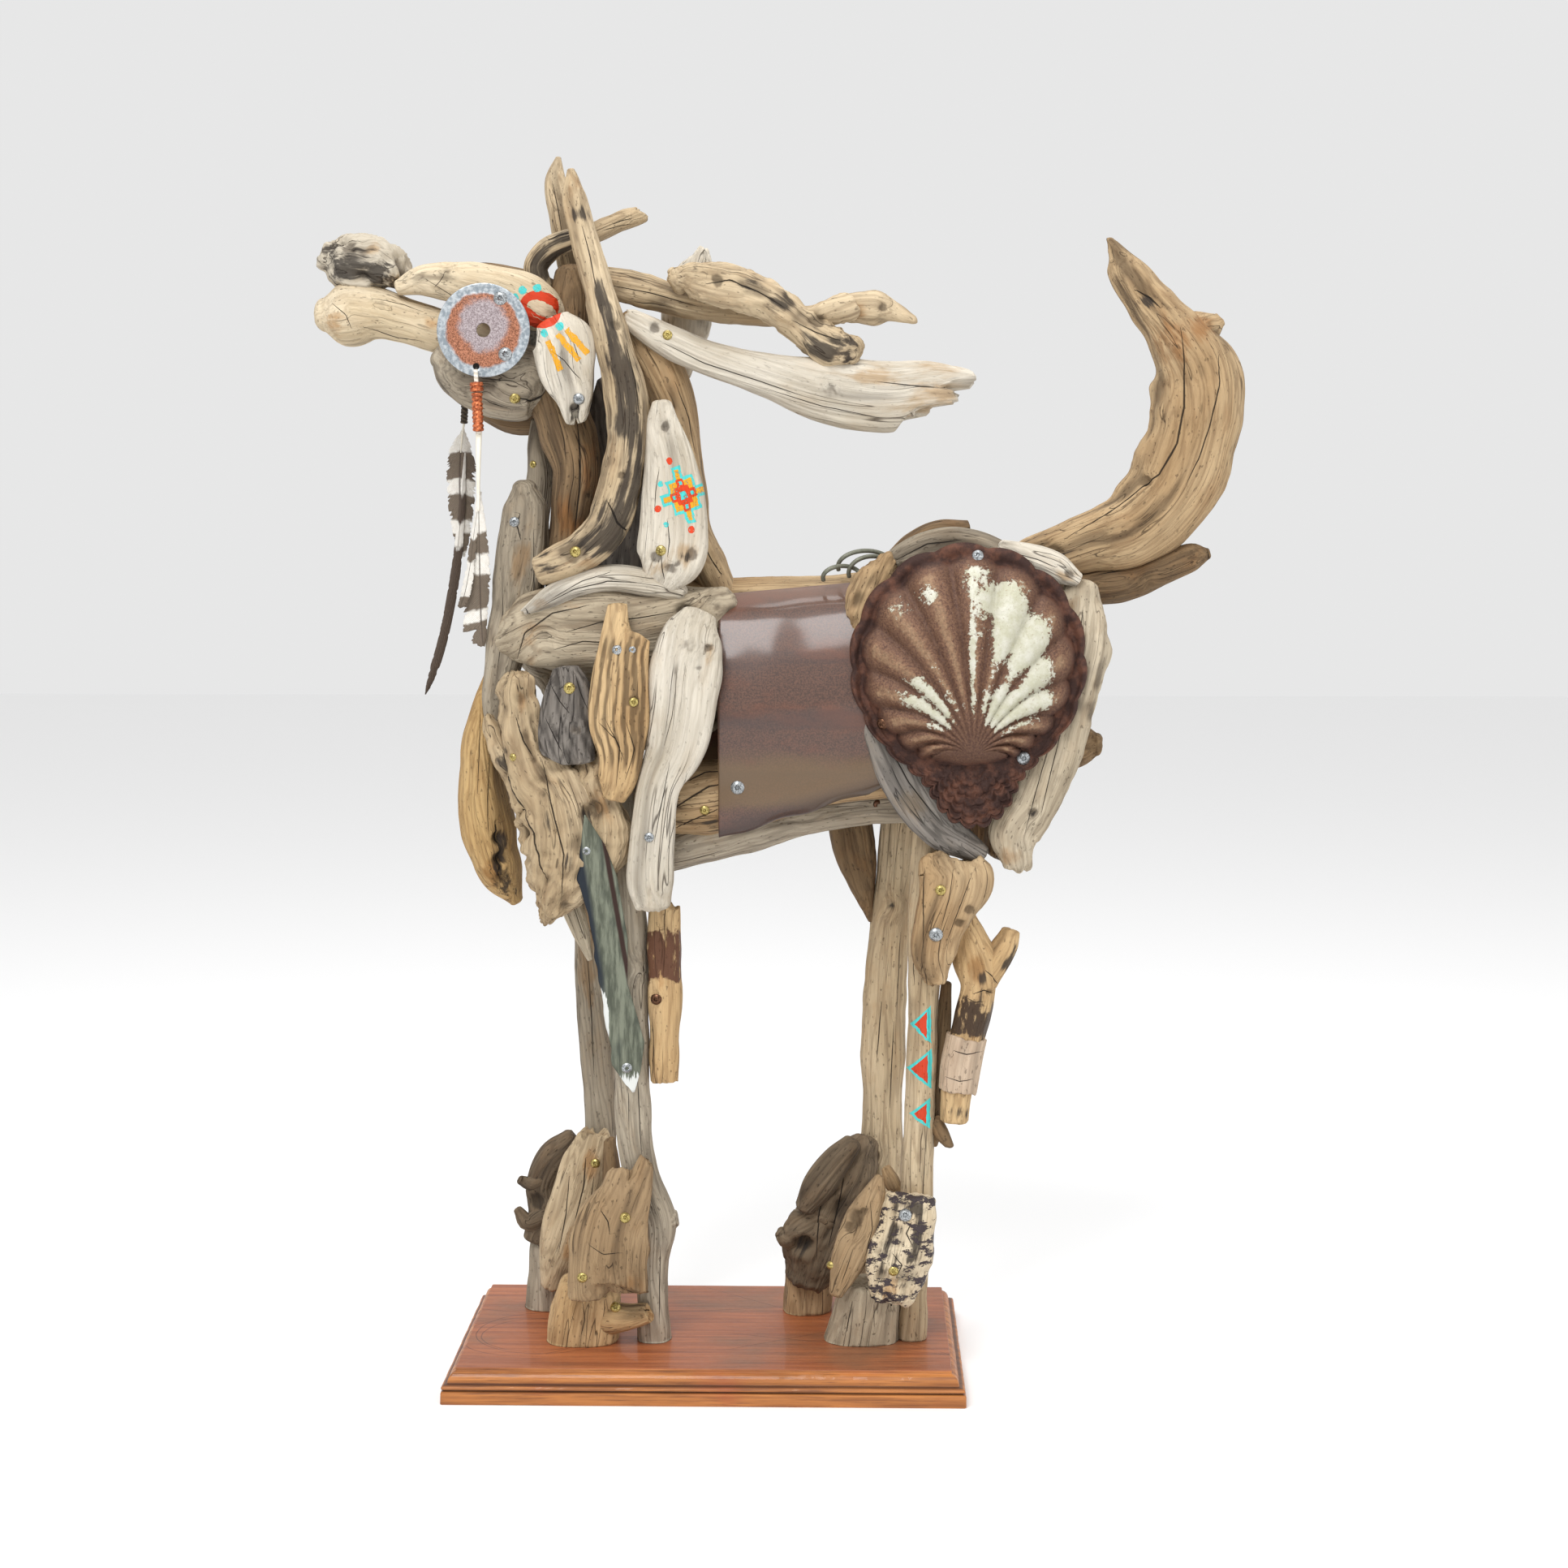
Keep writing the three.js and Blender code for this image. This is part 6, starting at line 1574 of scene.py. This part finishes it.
# Vane: from a point on the quill it reaches out on both sides by a width that varies down the feather, cut
# back by notches and frayed by noise; the barbs slope down, and the sheet cups a little
def feather(name, shape):
    rows, half = 170, 12
    quill = smoothLine(np.array(shape["quill"], float), np.linspace(0, 1, rows), 0.5)
    down = np.linspace(0, 1, rows)[:, None]
    out = np.linspace(-1, 1, 2 * half + 1)[None, :]
    left = np.interp(down[:, 0], *np.array(shape["left"], float).T)
    right = np.interp(down[:, 0], *np.array(shape["right"], float).T)
    seed = seedOf(name)
    fray = latticeNoise(np.stack([down[:, 0] * 60, down[:, 0] * 0, down[:, 0] * 0], 1), seed)
    fine = latticeNoise(np.stack([down[:, 0] * 150, down[:, 0] * 0, down[:, 0] * 0], 1), seed + 1)
    ragged = 1 - shape["fray"] * np.clip(fray * 0.6 + fine * 0.5, 0, 1)
    reach = np.where(out < 0, (left * ragged)[:, None], (right * ragged[::-1])[:, None]) * np.abs(out)
    x = quill[:, :1] + np.sign(out) * reach
    y = quill[:, 1:2] + shape["cup"] * (out ** 2)
    z = quill[:, 2:] - reach * shape["slope"]
    front = np.stack([x, y, z], -1)[::-1]
    points, faces = slab(front, front + np.array([0, 0.5, 0]))
    vane = np.stack([out + 0 * down, down + 0 * out, 0 * out + 0 * down], -1)[::-1].reshape(-1, 3)
    material = featherFinish(name + "_barbs", shape["look"])
    return makePiece(name, points * mm, faces, material, (), {"vane": np.vstack([vane, vane])})


barred = {
    "light": (240, 238, 232), "soft": (214, 206, 194), "dark": (86, 74, 62), "darkSoft": (128, 114, 98),
    "shaft": (70, 58, 48), "barbs": 70, "lean": 3,
}
feather("near_feather", {
    "quill": [[-209, -74, 850], [-209.5, -70, 812], [-210, -64, 772], [-210, -58, 735], [-209, -56, 702]],
    "left": [[0, 0.8], [0.08, 3], [0.3, 8], [0.55, 12], [0.72, 17], [0.84, 18], [0.86, 6], [0.93, 12],
             [1, 2]],
    "right": [[0, 0.8], [0.1, 4], [0.3, 8], [0.5, 10], [0.62, 8], [0.8, 5], [0.92, 4], [1, 1.5]],
    "fray": 0.3, "cup": 2, "slope": 0.5,
    "look": {**barred, "bars": [[0.28, 0.40], [0.52, 0.74], [0.82, 1.1]]}})
feather("near_feather_side", {
    "quill": [[-207, -72, 846], [-213, -71, 815], [-218, -69, 780], [-224, -66, 752], [-229, -64, 738]],
    "left": [[0, 0.6], [0.3, 3.5], [0.7, 5], [0.92, 4], [1, 0.6]],
    "right": [[0, 0.6], [0.3, 3], [0.7, 5], [0.92, 4], [1, 0.6]], "fray": 0.5, "cup": 1, "slope": 0.6,
    "look": {**barred, "bars": [[0.35, 0.5], [0.8, 1.1]]}})
feather("far_feather", {
    "quill": [[-242, 66, 908], [-245, 66, 880], [-246, 66, 850], [-245, 66, 815], [-243, 66, 783]],
    "left": [[0, 0.8], [0.08, 10], [0.14, 13], [0.3, 14], [0.6, 12], [0.85, 8], [1, 1]],
    "right": [[0, 0.8], [0.12, 9], [0.25, 15], [0.5, 15], [0.75, 10], [0.9, 5], [1, 1]],
    "fray": 0.35, "cup": 3, "slope": 0.55,
    "look": {**barred, "bars": [[0.2, 0.42], [0.54, 0.72], [0.82, 0.97]]}})
feather("far_long_feather", {
    "quill": [[-240, 62, 884], [-244, 62, 830], [-251, 62, 770], [-264, 62, 705], [-282, 62, 648]],
    "left": [[0, 0.8], [0.2, 3], [0.5, 5], [0.85, 5.5], [0.95, 3], [1, 0.6]],
    "right": [[0, 0.8], [0.2, 3], [0.5, 5], [0.85, 4.5], [0.95, 3], [1, 0.6]],
    "fray": 0.25, "cup": 2, "slope": 0.8,
    "look": {**barred, "dark": (58, 46, 38), "darkSoft": (92, 76, 62), "bars": [[0.2, 0.32], [0.42, 1.1]]}})
quillFinish = Finish("white_quill")
quillGrain = quillFinish.noise(quillFinish.place(), (500, 500, 30), 3.0)
quillMaterial = quillFinish.surface({
    "Base Color": quillFinish.blend(quillGrain, (244, 240, 228), (214, 204, 182)), "Roughness": 0.55,
    "Normal": quillFinish.bump(quillGrain, 0.0003)})
for name, line, radius in (
        ("near_quill", [[-208, -75, 903], [-208.5, -75, 880], [-209, -74.5, 860], [-209.5, -73, 828]], 3.0),
        ("far_quill", [[-241, 66, 913], [-242, 66, 906], [-243.5, 66, 895], [-244.5, 66, 884]], 1.3)):
    points, faces, _ = tube(np.array(line) * mm, np.linspace(1, 0.4, 40) * radius * mm)
    makePiece(name, points, faces, quillMaterial)

print("screws")
screwLooks = {"brass": ((196, 178, 112), (104, 88, 44)), "steel": ((176, 180, 182), (92, 94, 96)),
              "rusty": ((110, 78, 58), (52, 34, 26))}


# Screw metal that goes from its light to its dark colour by a fine noise
def screwFinish(kind):
    finish = Finish(kind + "_screw")
    light, dark = screwLooks[kind]
    grit = finish.noise(finish.place(), 800.0, 3.0)
    return finish.surface({
        "Base Color": finish.blend(grit.rise(0.4, 0.7), light, dark),
        "Metallic": 0.85, "Roughness": 0.3 + grit * 0.2})


# Each ring of a screw head: its share of the radius, and how far it falls away at the rim
headRings = np.array([
    [0.04, 0], [0.16, 0], [0.26, 0], [0.33, 0], [0.37, 0], [0.44, 0], [0.55, 0], [0.72, 0], [0.88, 0],
    [0.97, 0.08], [1, 0.3], [1, 1.4]])
headColumns = 30


# Pan head with a six-lobed recess: height over the seat is a low dome with a dip inside the lobed line
def screwHead(seat, facing, radius):
    angle = np.linspace(0, 2 * pi, headColumns, endpoint=False)[None, :]
    share, fall = headRings[:, :1], headRings[:, 1:]
    lobes = 0.36 * (1 + 0.22 * np.cos(6 * angle))
    recess = np.clip((lobes - share) / 0.06, 0, 1)
    height = radius * (0.42 * (1 - share ** 2) + 0.12 - 0.4 * recess) - fall * 1.2
    across = unit(np.cross(facing, np.array([0.2, 0.1, 1.0])))
    up = np.cross(across, facing)
    rings = (seat + across * (radius * share * np.cos(angle))[..., None]
             + up * (radius * share * np.sin(angle))[..., None] + facing * height[..., None])
    return withPoles(rings)


screws = {
    "brass": [
        ("ear_mane_branch", -118, 791, 5.2), ("jaw", -176, 932, 5.0), ("neck_plate", -39, 792, 5.0),
        ("mane_plank", -34, 990, 4.6), ("grey_plank", -123, 666, 5.4), ("striped_plank", -63, 654, 4.4),
        ("upper_belly_log", 0, 550, 4.6), ("near_thigh_wedge", 220, 478, 5.0),
        ("far_front_hoof_plank", -113, 191, 4.6), ("near_front_hoof_plate", -76, 163, 5.0),
        ("near_front_hoof_plate", -116, 108, 4.8), ("near_front_hoof", -87, 71, 5.0),
        ("birch_bark_chunk", 178, 112, 4.8), ("hind_hoof_pointed_plate", 118, 114, 3.8),
        ("throat_stick", -166, 872, 3.6), ("chest_root", -177, 601, 3.6),
    ],
    "steel": [
        ("cheek_plate", -115, 931, 5.4), ("chest_plank", -178, 818, 4.8), ("striped_plank", -78, 702, 4.6),
        ("striped_plank", -64, 702, 3.4), ("white_shoulder_plank", -50, 528, 4.6),
        ("body_panel", 31, 572, 6.6), ("shell_mould", 252, 788, 5.4), ("shell_mould", 296, 601, 6.2),
        ("near_thigh_wedge", 216, 436, 6.6),
        ("birch_bark_chunk", 189, 165, 6.2), ("eye_disc", -187, 1023, 6.6), ("eye_disc", -183, 972, 6.6),
        ("mirror_shard", -109, 514, 4.4), ("mirror_shard", -75, 303, 5.4),
    ],
    "rusty": [
        ("shell_mould", 165, 633, 5.4), ("front_leg_splint", -47, 369, 5.4),
        ("upper_belly_log", 162, 552, 4.4),
    ],
}


# Seats a screw on the outermost points of a piece round a place in the X-Z plane: a plane is fitted there
# by least squares, and the head stands square to it
def seatOn(pieceName, x, z):
    name = next(key for key in surfaces if key.startswith(pieceName + "_"))
    points = surfaces[name] / mm
    close = points[np.hypot(points[:, 0] - x, points[:, 2] - z) < 6]
    close = close[close[:, 1] < close[:, 1].min() + 4]
    table = np.column_stack([close[:, 0] - x, close[:, 2] - z, np.ones(len(close))])
    slopeX, slopeZ, level = np.linalg.lstsq(table, close[:, 1], rcond=None)[0]
    tilt = np.clip([slopeX, slopeZ], -0.6, 0.6)
    return np.array([x, level, z]), unit(np.array([tilt[0], -1.0, tilt[1]]))


for kind, seats in screws.items():
    gathered = []
    faces = []
    for pieceName, x, z, radius in seats:
        head = screwHead(*seatOn(pieceName, x, z), radius)
        before = len(head) * len(gathered)
        faces += [[corner + before for corner in face] for face in tubeFaces(len(headRings), headColumns)]
        gathered.append(head)
    makePiece(kind + "_screws", np.vstack(gathered) * mm, faces, screwFinish(kind))


# Studio: a pale floor, an even white surround and three soft lights
floorFinish = Finish("floor")
floorMesh = bpy.data.meshes.new("floor")
floorMesh.from_pydata([(-9, -9, 0), (9, -9, 0), (9, 9, 0), (-9, 9, 0)], [], [(0, 1, 2, 3)])
floorMesh.materials.append(floorFinish.surface({"Base Color": tone(250, 250, 250), "Roughness": 0.9}))
floor = bpy.data.objects.new("floor", floorMesh)
bpy.context.scene.collection.objects.link(floor)
world = bpy.data.worlds.new("studio")
world.use_nodes = True
world.node_tree.nodes["Background"].inputs["Color"].default_value = (1, 1, 1, 1)
world.node_tree.nodes["Background"].inputs["Strength"].default_value = 0.8
bpy.context.scene.world = world
bpy.context.scene.view_settings.view_transform = "Standard"
lights = {
    "key_light": {"place": (-0.6, -2.1, 3.0), "aim": (0.05, 0, 0.6), "size": 1.3, "watts": 68},
    "fill_light": {"place": (2.6, -1.2, 1.4), "aim": (0.05, 0, 0.6), "size": 1.8, "watts": 14},
    "top_light": {"place": (0.2, 0.4, 3.2), "aim": (0.05, 0, 0.7), "size": 1.2, "watts": 22},
}
for name, light in lights.items():
    data = bpy.data.lights.new(name, "AREA")
    data.size = light["size"]
    data.energy = light["watts"]
    lamp = bpy.data.objects.new(name, data)
    towards = unit(np.array(light["aim"]) - np.array(light["place"]))
    lamp.location = light["place"]
    lamp.rotation_euler = (np.arccos(-towards[2]), 0, np.arctan2(-towards[0], towards[1]))
    bpy.context.scene.collection.objects.link(lamp)

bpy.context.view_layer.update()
